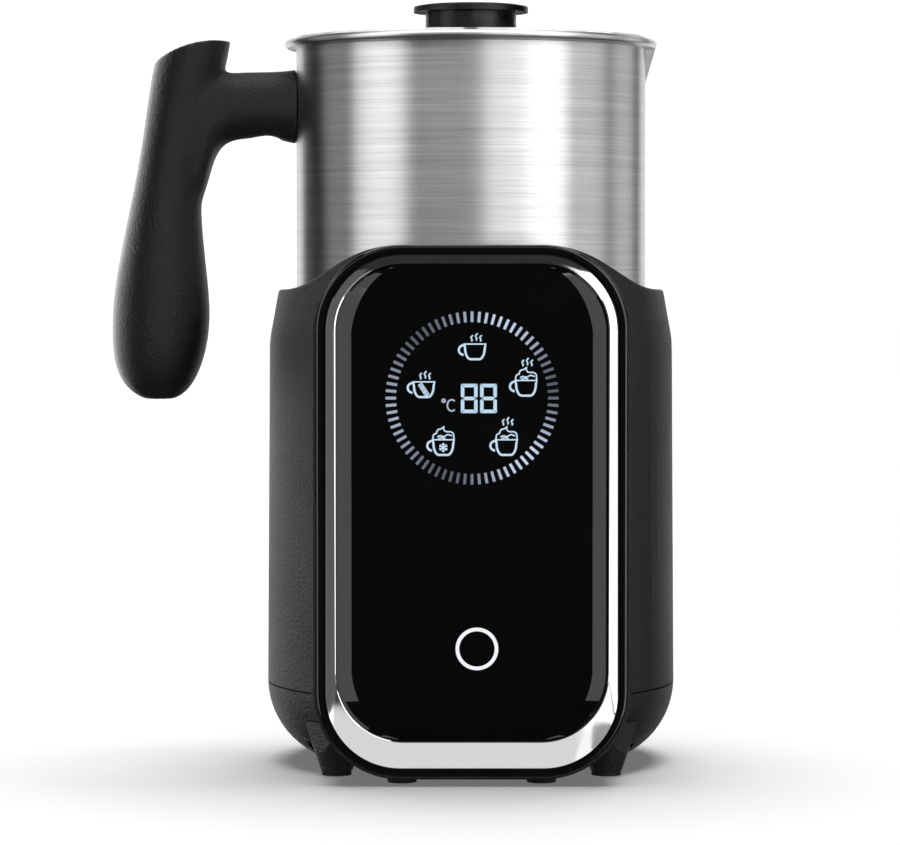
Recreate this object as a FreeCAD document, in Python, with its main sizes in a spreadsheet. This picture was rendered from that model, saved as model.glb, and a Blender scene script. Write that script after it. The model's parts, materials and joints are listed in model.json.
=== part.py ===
import FreeCAD, Part
import math
import os
from types import SimpleNamespace

import Sketcher

# Milk frother: a steel jug with a magnetic whisk, standing in an induction-heated base.
# Millimetres, +Z up. The origin is on the jug's axis, level with the surface under the feet.
# The display faces -Y, the handle points to -X and the spout to +X.
# "Depth" below always means the distance in front of the axis, towards -Y.
# A margin is added to the size that it surrounds, and a drop is taken off it.

SIZES = {
    # drum of the base, and the seam between its housing and its lower cover
    "drum_low_margin": 8.75,
    "drum_high_margin": 8.05,
    "drum_wall": 2.6,
    "seam_height": 23.9,
    "seam_gap": 0.4,
    "tongue_wall": 1.2,
    "tongue_rise": 3.0,
    "tongue_root": 8.0,
    "floor_height": 2.8,
    "bowl_radius": 24.3,
    "bowl_centre_height": 24.4,
    # shoulder round the jug and the wave that climbs to the display
    "shoulder_start": 126.0,
    "shoulder_height": 141.0,
    "shoulder_lean": 0.18,
    "shoulder_blend": 33.0,
    "lip_wall": 2.5,
    "arch_height": 154.0,
    "arch_half_width": 29.8,
    "wave_half_width": 51.0,
    "wave_crest_radius": 35.0,
    "wave_foot_radius": 19.0,
    "housing_boss_radius": 5.1,
    "housing_boss_length": 22.0,
    "housing_boss_rise": 8.0,
    "housing_web_length": 10.0,
    "housing_web_width": 2.4,
    "housing_web_offset": 6.5,
    "slot_width": 26.0,
    "slot_height": 2.0,
    "slot_pitch": 5.0,
    "slot_rise": 14.0,
    "vent_circle_radius": 18.2,
    "vent_pitch": 6.0,
    "vent_width": 2.4,
    "lip_edge_radius": 1.2,
    "frame_edge_radius": 0.8,
    "carrier_edge_radius": 0.5,
    # front: carrier, gloss frame, chrome bezel and glass
    "frame_half_width": 44.2,
    "frame_low": 2.8,
    "frame_high": 153.9,
    "frame_low_radius": 24.0,
    "frame_high_radius": 24.3,
    "frame_face_margin": 10.85,
    "frame_flange": 1.5,
    "collar_margin": 1.0,
    "collar_drop": 0.2,
    "carrier_depth": 25.0,
    "carrier_hollow_drop": 3.5,
    "carrier_hollow_radius": 20.0,
    "cable_slot_width": 14.0,
    "cable_slot_height": 6.0,
    "cable_slot_level": 56.0,
    "bezel_side_drop": 2.5,
    "bezel_low_margin": 2.55,
    "bezel_high_drop": 2.4,
    "bezel_low_radius": 21.3,
    "bezel_high_radius": 22.0,
    "bezel_seat_drop": 2.8,
    "bezel_edge_drop": 0.9,
    "bezel_inner_margin": 0.2,
    "groove_width": 0.6,
    "sleeve_wall": 0.8,
    "pocket_depth": 6.0,
    "carrier_back_wall": 2.0,
    "glass_side_drop": 3.05,
    "glass_low_margin": 7.65,
    "glass_high_drop": 3.0,
    "glass_radius": 19.1,
    "glass_face_drop": 0.1,
    "glass_edge_drop": 1.4,
    "glass_bevel": 5.0,
    "ledge_width": 5.8,
    "mask_thickness": 1.2,
    "board_thickness": 1.6,
    "dial_height": 110.5,
    "dial_radius": 23.0,
    "dial_slot": 4.0,
    "icon_circle_radius": 15.2,
    "icon_window_radius": 4.6,
    "digit_window_width": 13.0,
    "digit_window_height": 9.0,
    "digit_gap": 0.2,
    "touch_height": 39.3,
    "touch_offset": 1.4,
    "touch_radius": 6.2,
    "led_size": 1.6,
    # jug
    "jug_radius": 52.15,
    "jug_wall": 0.9,
    "jug_seat_height": 99.6,
    "jug_disc_thickness": 1.4,
    "jug_disc_radius": 46.0,
    "jug_corner": 5.0,
    "rim_height": 215.1,
    "rim_margin": 3.35,
    "rim_drop": 2.8,
    "bead_radius": 1.2,
    "spout_height": 14.0,
    "spout_half_width": 13.0,
    "post_radius": 2.0,
    "post_height": 14.0,
    # lid
    "lid_thickness": 2.2,
    "lid_plug_height": 8.0,
    "lid_plug_wall": 1.8,
    "lid_gap": 0.3,
    "seal_height": 2.6,
    "seal_depth": 1.2,
    "seal_rise": 1.6,
    "lid_rest": 1.9,
    "lid_edge_margin": 1.2,
    "knob_radius": 17.1,
    "knob_neck_radius": 13.55,
    "knob_disc_rise": 8.5,
    "knob_edge": 1.7,
    "knob_crown": 0.7,
    "knob_bore_radius": 1.5,
    # whisk
    "bush_wall": 1.6,
    "hub_radius": 8.5,
    "hub_height": 7.0,
    "whisk_radius": 16.0,
    "whisk_wire_radius": 3.0,
    "whisk_wire": 0.8,
    "whisk_magnet_radius": 2.0,
    # well that the jug stands in
    "well_gap": 0.5,
    "well_wall": 1.6,
    "well_floor": 2.0,
    "hole_gap": 0.85,
    # induction coil and its carrier
    "coil_inner_radius": 25.5,
    "coil_outer_radius": 46.0,
    "coil_height": 4.0,
    "coil_air_gap": 1.0,
    "coil_plate_thickness": 1.5,
    "coil_plate_radius": 52.0,
    "ferrite_length": 18.0,
    "ferrite_width": 7.0,
    "ferrite_height": 3.0,
    "boss_circle_radius": 49.3,
    "boss_radius": 2.6,
    # stirrer motor
    "motor_radius": 13.8,
    "motor_height": 26.0,
    "motor_collar_wall": 2.0,
    "motor_collar_height": 1.5,
    "motor_tab_width": 4.0,
    "motor_tab_length": 5.0,
    "shaft_radius": 1.5,
    "bracket_radius": 33.0,
    "bracket_thickness": 2.0,
    "standoff_radius": 2.6,
    "standoff_height": 7.0,
    "standoff_circle_radius": 29.0,
    "rotor_radius": 14.0,
    "rotor_height": 4.0,
    "rotor_rise": 2.5,
    "rotor_pocket_depth": 2.0,
    "drive_magnet_radius": 3.6,
    "drive_magnet_height": 3.5,
    "drive_magnet_offset": 8.5,
    # temperature probe
    "probe_offset": 20.5,
    "probe_radius": 2.2,
    "probe_flange_radius": 3.2,
    "probe_boss_radius": 4.3,
    "probe_boss_height": 9.0,
    "probe_flange_thickness": 1.5,
    "probe_cap_thickness": 1.4,
    "probe_cap_bore": 0.8,
    "spring_outer_radius": 2.8,
    "spring_inner_radius": 1.9,
    # power board and what stands on it
    "power_board_width": 78.0,
    "power_board_depth": 38.0,
    "power_board_height": 27.0,
    "power_board_centre": 12.0,
    "board_post_radius": 2.8,
    "board_post_inset": 4.0,
    "board_screw_radius": 1.1,
    "capacitor_radius": 5.0,
    "capacitor_height": 15.0,
    "capacitor_pitch": 11.0,
    "fin_thickness": 1.4,
    "fin_pitch": 3.6,
    "fin_height": 16.0,
    "heatsink_depth": 20.0,
    "heatsink_base": 3.0,
    "choke_radius": 7.5,
    "choke_bore": 3.2,
    "choke_height": 7.0,
    # fan
    "fan_size": 40.0,
    "fan_height": 10.0,
    "fan_centre": 22.0,
    "fan_hub_radius": 10.0,
    "fan_blade_radius": 17.6,
    "fan_blade_lean": 38.0,
    "fan_pin_radius": 1.2,
    "fan_spider": 1.2,
    # feet, screws, cord entry
    "leg_x": 39.2,
    "leg_y": 37.0,
    "leg_top_radius": 9.3,
    "leg_height": 15.5,
    "pad_radius": 4.3,
    "pad_thickness": 1.4,
    "front_pad_x": 20.0,
    "front_pad_drop": 11.0,
    "leg_low_radius": 4.7,
    "screw_x_drop": 7.15,
    "screw_y": 25.0,
    "screw_radius": 1.5,
    "screw_head_radius": 2.7,
    "screw_seat_drop": 4.0,
    "screw_sleeve_rise": 6.0,
    "screw_sleeve_wall": 1.6,
    "small_screw_radius": 1.2,
    "small_screw_head_radius": 2.16,
    "motor_screw_radius": 1.0,
    "motor_screw_head_radius": 1.9,
    "motor_screw_offset": 8.0,
    "drill_gap": 0.1,
    "gland_height": 36.0,
    "gland_radius": 5.5,
    "gland_bore_radius": 3.6,
    "gland_length": 9.0,
    "gland_flange": 3.0,
    "gland_flange_margin": 2.0,
    "gland_stand_out": 3.5,
    "fit": 0.05,
    "seat": 0.2,
}

# Handle sections. Grip: drop below the rim, distance out from the jug wall, half depth,
# half width. Arm: distance out from the jug wall, drop below the rim, half height, half width.
GRIP_SECTIONS = [
    (106.9, 41.4, 3.6, 3.2), (105.2, 41.4, 7.3, 6.6), (100.7, 41.6, 11.1, 10.0),
    (93.4, 41.3, 13.6, 12.2), (82.1, 40.7, 14.5, 12.9), (57.5, 39.8, 11.7, 11.2),
    (38.1, 37.7, 10.0, 10.0), (18.0, 34.1, 10.4, 10.3), (-4.0, 29.3, 10.0, 10.0),
]
ARM_SECTIONS = [
    (-1.2, 19.6, 11.4, 9.6), (5.0, 19.4, 10.4, 9.4), (11.0, 19.3, 10.1, 9.2),
    (17.0, 19.4, 10.1, 9.2), (20.5, 19.8, 10.5, 9.3), (24.0, 21.5, 12.9, 9.4),
    (29.0, 27.5, 20.0, 8.8),
]
THUMB_REST_RADIUS = 35.0

# How far a cutting piece runs past the face that it cuts, and the length of a drill that
# goes right through whatever it meets.
PAST = 5.0
THROUGH = 30.0

doc = FreeCAD.newDocument("milk_frother")
sheet = doc.addObject("Spreadsheet::Sheet", "sizes")
nodes = {}


class Size:
    """A value together with the sheet expression that gives it."""

    def __init__(self, value, text):
        self.value = value
        self.text = text

    def combined(self, sign, other, value):
        return Size(value, "(%s %s %s)" % (self.text, sign, other.text))

    def __add__(self, other):
        other = as_size(other)
        return self.combined("+", other, self.value + other.value)

    def __sub__(self, other):
        other = as_size(other)
        return self.combined("-", other, self.value - other.value)

    def __mul__(self, other):
        other = as_size(other)
        return self.combined("*", other, self.value * other.value)

    def __truediv__(self, other):
        other = as_size(other)
        return self.combined("/", other, self.value / other.value)

    def __neg__(self):
        return self * -1

    __radd__ = __add__
    __rmul__ = __mul__

    def __rsub__(self, other):
        return as_size(other) - self


def as_size(thing):
    if isinstance(thing, Size):
        return thing
    return Size(float(thing), "(%.9f)" % thing)


def root(size):
    return Size(math.sqrt(size.value), "sqrt(%s)" % size.text)


def fill_sheet():
    named = dict(SIZES)
    for number, section in enumerate(GRIP_SECTIONS, 1):
        for word, value in zip(("drop", "out", "depth", "width"), section):
            named["grip_%s_%d" % (word, number)] = value
    for number, section in enumerate(ARM_SECTIONS, 1):
        for word, value in zip(("out", "drop", "height", "width"), section):
            named["arm_%s_%d" % (word, number)] = value
    named["thumb_rest_radius"] = THUMB_REST_RADIUS
    for row, (alias, value) in enumerate(named.items(), 1):
        sheet.set("A%d" % row, alias.replace("_", " "))
        sheet.set("B%d" % row, str(value))
        sheet.setAlias("B%d" % row, alias)
    doc.recompute()
    return SimpleNamespace(**{a: Size(float(v), "sizes." + a) for a, v in named.items()})


s = fill_sheet()

# The drum, the rim, the front and the screws keep their distance from the jug's wall.
s.drum_low_radius = s.jug_radius + s.drum_low_margin
s.drum_high_radius = s.jug_radius + s.drum_high_margin
s.rim_radius = s.jug_radius + s.rim_margin
s.screw_x = s.jug_radius - s.screw_x_drop
s.frame_face = s.jug_radius + s.frame_face_margin
s.carrier_back = s.frame_face - s.carrier_depth
s.bezel_seat = s.frame_face - s.bezel_seat_drop
s.front_pad_depth = s.frame_face - s.front_pad_drop


# ---------------------------------------------------------------- building blocks


def bind(thing, prop, size):
    thing.setExpression(prop, as_size(size).text)


def place(thing, x=0, y=0, z=0, turn=None):
    """Turn is an axis and an angle; x, y and z are bound to the sheet."""
    if turn:
        thing.Placement = FreeCAD.Placement(FreeCAD.Vector(), FreeCAD.Rotation(*turn))
    for letter, size in zip("xyz", (x, y, z)):
        bind(thing, "Placement.Base." + letter, size)
    return thing


def named(kind, label):
    thing = doc.addObject(kind, label)
    thing.Label = label
    return thing


TOWARDS_FRONT = (FreeCAD.Vector(1, 0, 0), 90)


def cylinder(label, radius, height, x=0, y=0, z=0, turn=None):
    thing = named("Part::Cylinder", label)
    bind(thing, "Radius", radius)
    bind(thing, "Height", height)
    return place(thing, x, y, z, turn)


def cone(label, low_radius, high_radius, height, x=0, y=0, z=0):
    thing = named("Part::Cone", label)
    bind(thing, "Radius1", low_radius)
    bind(thing, "Radius2", high_radius)
    bind(thing, "Height", height)
    return place(thing, x, y, z)


def box(label, width, depth, height, x=0, y=0, z=0, angle=0):
    """A box centred on x and y, standing on z, turned by an angle about the origin's Z."""
    thing = named("Part::Box", label)
    bind(thing, "Length", width)
    bind(thing, "Width", depth)
    bind(thing, "Height", height)
    left, front = as_size(x) - as_size(width) / 2, as_size(y) - as_size(depth) / 2
    if not angle:
        return place(thing, left, front, z)
    cosine, sine = math.cos(math.radians(angle)), math.sin(math.radians(angle))
    turn = (FreeCAD.Vector(0, 0, 1), angle)
    return place(thing, left * cosine - front * sine, left * sine + front * cosine, z, turn)


def joined(label, parts):
    thing = named("Part::MultiFuse", label)
    thing.Shapes = parts
    thing.Refine = True
    return thing


def group(label, parts):
    thing = named("Part::Compound", label)
    thing.Links = parts
    return thing


def less(label, base, *tools):
    """The base with each tool cut away; the last cut carries the label."""
    for number, tool in enumerate(tools, 1):
        last = number == len(tools)
        thing = named("Part::Cut", label if last else "%s_cut_%d" % (label, number))
        thing.Base = base
        thing.Tool = tool
        thing.Refine = True
        base = thing
    return base


def common(label, first, second):
    thing = named("Part::Common", label)
    thing.Base = first
    thing.Tool = second
    thing.Refine = True
    return thing


def tube(label, outer, inner, height, x=0, y=0, z=0, turn=None):
    solid = cylinder(label + "_outside", outer, height, x, y, z, turn)
    bore = cylinder(label + "_bore", inner, height, x, y, z, turn)
    return less(label, solid, bore)


def node(thing):
    nodes[thing.Label] = thing
    return thing


def sketch_on(body, plane, offset=0):
    """A sketch on one of the body's own planes; XZ_Plane looks to -Y, so offset is a depth."""
    sketch = body.newObject("Sketcher::SketchObject", body.Name + "_sketch")
    origin_plane = [f for f in body.Origin.OriginFeatures if f.Role == plane][0]
    sketch.AttachmentSupport = [(origin_plane, "")]
    sketch.MapMode = "FlatFace"
    bind(sketch, "AttachmentOffset.Base.z", offset)
    return sketch


def arc_between(start, end, radius, left):
    """The shorter arc from start to end that turns left, or right."""
    middle, chord = (start + end) * 0.5, end - start
    rise = math.sqrt(max(radius**2 - (chord.Length / 2) ** 2, 0.0))
    across = FreeCAD.Vector(-chord.y, chord.x, 0).normalize()
    centre = middle + across * (rise if left else -rise)
    first, last = (start, end) if left else (end, start)
    angles = [math.atan2(p.y - centre.y, p.x - centre.x) for p in (first, last)]
    circle = Part.Circle(centre, FreeCAD.Vector(0, 0, 1), radius)
    return Part.ArcOfCircle(circle, angles[0], angles[1])


def draw(sketch, corners):
    """A closed outline, bound to the sheet. (x, y) starts a line to the next corner and
    (x, y, radius, turn) an arc, which turns left or right on its way."""
    sizes = [[as_size(value) for value in corner[:3]] for corner in corners]
    points = [FreeCAD.Vector(corner[0].value, corner[1].value, 0) for corner in sizes]
    starts, ends = [], []
    for i, corner in enumerate(corners):
        a, b = points[i], points[(i + 1) % len(points)]
        left = len(corner) < 3 or corner[3] == "left"
        shape = Part.LineSegment(a, b) if len(corner) < 3 else arc_between(
            a, b, sizes[i][2].value, left)
        sketch.addGeometry(shape, False)
        starts.append(1 if left else 2)
        ends.append(2 if left else 1)
    for i, (x, y, *radius) in enumerate(sizes):
        after = (i + 1) % len(points)
        sketch.addConstraint(Sketcher.Constraint("Coincident", i, ends[i], after, starts[after]))
        for kind, size in (("DistanceX", x), ("DistanceY", y)):
            if size.value == 0:
                axis = -2 if kind == "DistanceX" else -1
                sketch.addConstraint(Sketcher.Constraint("PointOnObject", i, starts[i], axis))
                continue
            at = sketch.addConstraint(
                Sketcher.Constraint(kind, -1, 1, i, starts[i], size.value))
            bind(sketch, "Constraints[%d]" % at, size)
        if radius:
            at = sketch.addConstraint(Sketcher.Constraint("Radius", i, radius[0].value))
            bind(sketch, "Constraints[%d]" % at, radius[0])


def revolved(label, corners):
    """A body turned about Z from an outline of radii and heights."""
    body = named("PartDesign::Body", label)
    sketch = sketch_on(body, "XZ_Plane")
    draw(sketch, corners)
    turn = body.newObject("PartDesign::Revolution", label + "_turn")
    turn.Profile = sketch
    turn.ReferenceAxis = (sketch, ["V_Axis"])
    turn.Angle = 360
    return body


def padded(label, corners, back, front, plane="XZ_Plane"):
    """A body padded from an outline, between two depths or two heights."""
    body = named("PartDesign::Body", label)
    sketch = sketch_on(body, plane, back)
    draw(sketch, corners)
    pad = body.newObject("PartDesign::Pad", label + "_pad")
    pad.Profile = sketch
    bind(pad, "Length", as_size(front) - back)
    return body


def lofted(label, back_corners, back, front_corners, front):
    body = named("PartDesign::Body", label)
    sketches = [sketch_on(body, "XZ_Plane", depth) for depth in (back, front)]
    for sketch, corners in zip(sketches, (back_corners, front_corners)):
        draw(sketch, corners)
    loft = body.newObject("PartDesign::AdditiveLoft", label + "_loft")
    loft.Profile = sketches[0]
    loft.Sections = [sketches[1]]
    loft.Ruled = True
    return body


def filleted(body, label, radius, chosen):
    """Rounds the edges of the body's tip that the test picks."""
    doc.recompute()
    tip = body.Tip
    edges = ["Edge%d" % n for n, edge in enumerate(tip.Shape.Edges, 1) if chosen(edge)]
    if not edges:
        raise RuntimeError("no edge to round on " + label)
    fillet = body.newObject("PartDesign::Fillet", label)
    fillet.Base = (tip, edges)
    bind(fillet, "Radius", radius)
    body.Tip = fillet
    doc.recompute()
    return body


def near(one, other, within=0.02):
    return abs(one - other) < within


# A rounded outline is (half width, low, high, low corner radius, high corner radius).


def grown(outline, by):
    half_width, low, high, low_radius, high_radius = outline
    return (half_width + by, low - by, high + by, low_radius + by, high_radius + by)


def corners_of(outline):
    half, low, high, low_radius, high_radius = outline
    return [
        (low_radius - half, low), (half - low_radius, low, low_radius, "left"),
        (half, low + low_radius), (half, high - high_radius, high_radius, "left"),
        (half - high_radius, high), (high_radius - half, high, high_radius, "left"),
        (-as_size(half), high - high_radius),
        (-as_size(half), low + low_radius, low_radius, "left"),
    ]


def slab(label, outline, back, front, edge_radius=None):
    """A rounded plate between two depths, its front edge rounded off if that is asked."""
    body = padded(label, corners_of(outline), back, front)
    if edge_radius:
        face = -as_size(front).value
        filleted(body, label + "_edge", edge_radius,
                 lambda e: near(e.BoundBox.YMin, face) and near(e.BoundBox.YMax, face))
    return body


def screw(label, x, y, z, length, head_height=2.0, up=1, radius=None, head=None):
    """A pan-head screw standing on its head at z, its shank pointing up or down."""
    radius, head = radius or s.screw_radius, head or s.screw_head_radius
    head_z = as_size(z) if up > 0 else as_size(z) - head_height
    shank_z = as_size(z) + head_height if up > 0 else as_size(z) - head_height - length
    return joined(label, [
        cylinder(label + "_head", head, head_height, x, y, head_z),
        cylinder(label + "_shank", radius, length, x, y, shank_z),
    ])


def around(count, radius, first=0):
    """Places spread evenly on a circle about the axis."""
    for number in range(count):
        angle = math.radians(first + 360.0 * number / count)
        yield number + 1, radius * math.cos(angle), radius * math.sin(angle)


CORNERS = [(1, 1), (-1, 1), (-1, -1), (1, -1)]

frame_outline = (s.frame_half_width, s.frame_low, s.frame_high, s.frame_low_radius,
                 s.frame_high_radius)
carrier_outline = (s.frame_half_width + s.collar_margin, s.frame_low - s.collar_margin,
                   s.frame_high - s.collar_drop, s.frame_low_radius + s.collar_margin,
                   s.frame_high_radius + s.collar_margin)
bezel_half_width = s.frame_half_width - s.bezel_side_drop
bezel_low = s.frame_low + s.bezel_low_margin
bezel_high = s.frame_high - s.bezel_high_drop
bezel_edge_face = s.frame_face - s.bezel_edge_drop
bezel_outline = (bezel_half_width, bezel_low, bezel_high, s.bezel_low_radius,
                 s.bezel_high_radius)
groove_outline = grown(bezel_outline, s.groove_width)
sleeve_outline = grown(groove_outline, s.sleeve_wall)
glass_outline = (bezel_half_width - s.glass_side_drop, bezel_low + s.glass_low_margin,
                 bezel_high - s.glass_high_drop, s.glass_radius, s.glass_radius)
glass_edge_face = s.frame_face - s.glass_edge_drop
ledge_outline = grown(groove_outline, -s.ledge_width)

carrier_face = s.frame_face - s.frame_flange
pocket_back = s.frame_face - s.pocket_depth
well_inner = s.jug_radius + s.well_gap
well_outer = well_inner + s.well_wall
well_top = s.shoulder_height - s.lip_wall - s.seat
well_floor_top = s.jug_seat_height - s.seat
well_floor_low = well_floor_top - s.well_floor
hole_radius = s.jug_radius + s.hole_gap
jug_inner = s.jug_radius - s.jug_wall
jug_floor_low = s.jug_seat_height + s.jug_disc_thickness
jug_floor_top = jug_floor_low + s.jug_wall
bead_circle = s.rim_radius - s.bead_radius
bead_height = s.rim_height - s.bead_radius
flare_height = s.rim_height - s.rim_drop
probe_boss_low = well_floor_low - s.probe_boss_height


# ---------------------------------------------------------------- base: housing


def bowl(label, inwards, top, low):
    """The drum's rounded underside as a solid, moved inwards by a wall."""
    radius = s.bowl_radius - inwards
    centre = s.drum_low_radius - s.bowl_radius
    fall = s.bowl_centre_height - low
    foot = centre + root(radius * radius - fall * fall)
    rise = s.bowl_centre_height - top
    side = centre + root(radius * radius - rise * rise)
    return revolved(label, [
        (0, low), (foot, low, radius, "left"), (side, top), (0, top)])


def front_opening(label):
    """The opening that the front carrier fills in the housing and the lower cover."""
    return slab(label, grown(carrier_outline, s.fit), s.carrier_back - s.fit,
                s.frame_face + PAST)


def shoulder_radius_at(height):
    return s.drum_high_radius - (as_size(height) - s.shoulder_start) * s.shoulder_lean


def rounded_top(solid):
    """The housing's outer top edge, which follows the shoulder and the wave, rounded off."""
    body = named("PartDesign::Body", "housing_body")
    body.BaseFeature = solid

    def on_top_edge(edge):
        first, last = edge.ParameterRange
        spots = [edge.valueAt(first + (last - first) * part) for part in (0.02, 0.5, 0.98)]
        return all(
            spot.z > s.shoulder_height.value - 0.05
            and near(math.hypot(spot.x, spot.y), shoulder_radius_at(spot.z).value, 0.05)
            for spot in spots)

    return filleted(body, "housing_top_edge", s.lip_edge_radius, on_top_edge)


def upper_housing():
    low = s.seam_height + s.seam_gap / 2
    above = s.arch_height + PAST
    drum = revolved("housing_drum", [
        (0, low), (s.drum_low_radius, low), (s.drum_high_radius, s.shoulder_start),
        (shoulder_radius_at(above), above), (0, above)])
    shoulder = s.shoulder_start.value
    filleted(drum, "housing_shoulder", s.shoulder_blend,
             lambda e: near(e.BoundBox.ZMin, shoulder) and near(e.BoundBox.ZMax, shoulder))
    past = s.drum_low_radius + PAST
    wave = padded("housing_wave", [
        (-past, low - 1), (past, low - 1), (past, s.shoulder_height),
        (s.wave_half_width, s.shoulder_height), (s.arch_half_width, s.arch_height),
        (-s.arch_half_width, s.arch_height), (-s.wave_half_width, s.shoulder_height),
        (-past, s.shoulder_height)], 0, past)
    for name, half, height, radius in (
            ("wave_crest", s.arch_half_width, s.arch_height, s.wave_crest_radius),
            ("wave_foot", s.wave_half_width, s.shoulder_height, s.wave_foot_radius)):
        x, z = half.value, height.value
        filleted(wave, name, radius, lambda e: near(abs(e.CenterOfMass.x), x)
                 and near(e.CenterOfMass.z, z) and near(e.BoundBox.XLength, 0))
    rear = box("housing_rear", past * 2, past, s.shoulder_height - low + 1, 0, past / 2,
               low - 1)
    top = joined("housing_top", [wave, rear])
    solid = rounded_top(common("housing_solid", drum, top))
    under_lip = s.shoulder_height - s.lip_wall
    inside = revolved("housing_inside", [
        (0, low - 1), (s.drum_low_radius - s.drum_wall, low - 1),
        (s.drum_high_radius - s.drum_wall, s.shoulder_start),
        (shoulder_radius_at(under_lip) - s.drum_wall, under_lip), (0, under_lip)])
    hole = cylinder("housing_hole", hole_radius, above, z=s.shoulder_start)
    boss_low = s.seam_height + s.housing_boss_rise
    bosses = [cylinder("housing_boss_%d_%d" % (i, j), s.housing_boss_radius,
                       s.housing_boss_length, s.screw_x * i, s.screw_y * j, boss_low)
              for i, j in CORNERS]
    webs = [box("housing_web_%d_%d" % (i, j), s.housing_web_length, s.housing_web_width,
                s.housing_boss_length, (s.screw_x + s.housing_web_offset) * i,
                s.screw_y * j, boss_low) for i, j in CORNERS]
    inner_drum = cylinder("housing_boss_limit", s.drum_high_radius - s.drum_wall / 2, above)
    fittings = common("housing_bosses", joined("housing_boss_set", bosses + webs), inner_drum)
    shell = less("housing_shell", solid, inside, hole, front_opening("housing_opening"))
    bores = [cylinder("housing_bore_%d_%d" % (i, j), s.screw_radius, screw_shank,
                      s.screw_x * i, s.screw_y * j, boss_low - 1) for i, j in CORNERS]
    inlet = cylinder("housing_inlet", s.gland_radius + s.fit, THROUGH, 0,
                     s.drum_low_radius + THROUGH / 2, s.gland_height, TOWARDS_FRONT)
    slots = [box("housing_slot_%d" % n, s.slot_width, THROUGH / 2, s.slot_height, 0,
                 s.drum_low_radius, s.gland_height + s.slot_rise + s.slot_pitch * n)
             for n in range(5)]
    whole = joined("housing_whole", [shell, fittings])
    node(less("upper_housing", whole, group("housing_bores", bores), inlet,
              group("housing_slots", slots)))


def lower_cover():
    top = s.seam_height - s.seam_gap / 2
    floor_top = s.floor_height + s.drum_wall
    outside = bowl("cover_outside", 0, top, s.floor_height)
    inside = bowl("cover_inside", s.drum_wall, s.bowl_centre_height, floor_top)
    legs = joined("cover_legs", [
        cone("cover_leg_%d_%d" % (i, j), s.leg_low_radius, s.leg_top_radius,
             s.leg_height - s.pad_thickness, s.leg_x * i, s.leg_y * j, s.pad_thickness)
        for i, j in CORNERS])
    leg_limit = cylinder("cover_leg_limit", s.drum_low_radius - 0.5, s.seam_height)
    legs = common("cover_trimmed_legs", legs, leg_limit)
    tongue_outer = s.drum_low_radius - s.drum_wall - s.fit * 3
    tongue = tube("cover_tongue", tongue_outer, tongue_outer - s.tongue_wall,
                  s.tongue_rise + s.tongue_root, z=top - s.tongue_root)
    shell = joined("cover_shell", [outside, legs])
    shell = joined("cover_with_tongue", [less("cover_hollow", shell, inside), tongue])
    shell = common("cover_round", shell,
                   cylinder("cover_round_limit", s.drum_low_radius, s.shoulder_height))
    posts = [cylinder("cover_post_%d_%d" % (i, j), s.board_post_radius,
                      s.power_board_height - floor_top + 0.5, board_post_x * i,
                      board_post_y(j), floor_top - 0.5) for i, j in CORNERS]
    sleeve_low = s.floor_height + s.screw_sleeve_rise
    sleeve_top = s.seam_height + s.housing_boss_rise - s.seat
    sleeves = [cylinder("cover_sleeve_%d_%d" % (i, j),
                        s.screw_head_radius + s.screw_sleeve_wall, sleeve_top - sleeve_low,
                        s.screw_x * i, s.screw_y * j, sleeve_low) for i, j in CORNERS]
    sleeve_set = common("cover_sleeves", joined("cover_sleeve_set", sleeves),
                        cylinder("cover_sleeve_limit", tongue_outer - 0.4, sleeve_top))
    shell = less("cover_cut_front", shell, front_opening("cover_opening"))
    whole = joined("cover_whole", [shell, sleeve_set] + posts)
    heads = [cylinder("cover_head_hole_%d_%d" % (i, j), s.screw_head_radius + s.seat,
                      s.seam_height - s.screw_seat_drop, s.screw_x * i, s.screw_y * j)
             for i, j in CORNERS]
    shanks = [cylinder("cover_shank_hole_%d_%d" % (i, j), s.screw_radius + s.drill_gap,
                       sleeve_top + PAST, s.screw_x * i, s.screw_y * j)
              for i, j in CORNERS]
    post_bores = [cylinder("cover_post_bore_%d_%d" % (i, j), s.board_screw_radius,
                           board_screw_shank + PAST, board_post_x * i, board_post_y(j),
                           s.power_board_height - board_screw_shank) for i, j in CORNERS]
    vents = []
    for n in range(-2, 3):
        off = s.vent_pitch * n
        half_length = root(s.vent_circle_radius * s.vent_circle_radius - off * off)
        vents.append(box("cover_vent_%d" % n, half_length * 2, s.vent_width,
                         floor_top + PAST, 0, s.fan_centre + off))
    node(less("lower_cover", whole, group("cover_heads", heads),
              group("cover_shanks", shanks), group("cover_post_bores", post_bores),
              group("cover_vents", vents)))


board_post_x = s.power_board_width / 2 - s.board_post_inset
board_screw_shank = as_size(6.0)
screw_shank = as_size(18.0)


def board_post_y(side):
    return (s.power_board_depth / 2 - s.board_post_inset) * side - s.power_board_centre


def feet():
    pads = [cylinder("pad_%d_%d" % (i, j), s.pad_radius, s.pad_thickness, s.leg_x * i,
                     s.leg_y * j) for i, j in CORNERS]
    pads += [cylinder("front_pad_%d" % i, s.pad_radius - 0.1, s.frame_low - s.collar_margin,
                      s.front_pad_x * i, -s.front_pad_depth) for i in (-1, 1)]
    node(group("foot_pads", pads))


# ---------------------------------------------------------------- base: front


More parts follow.
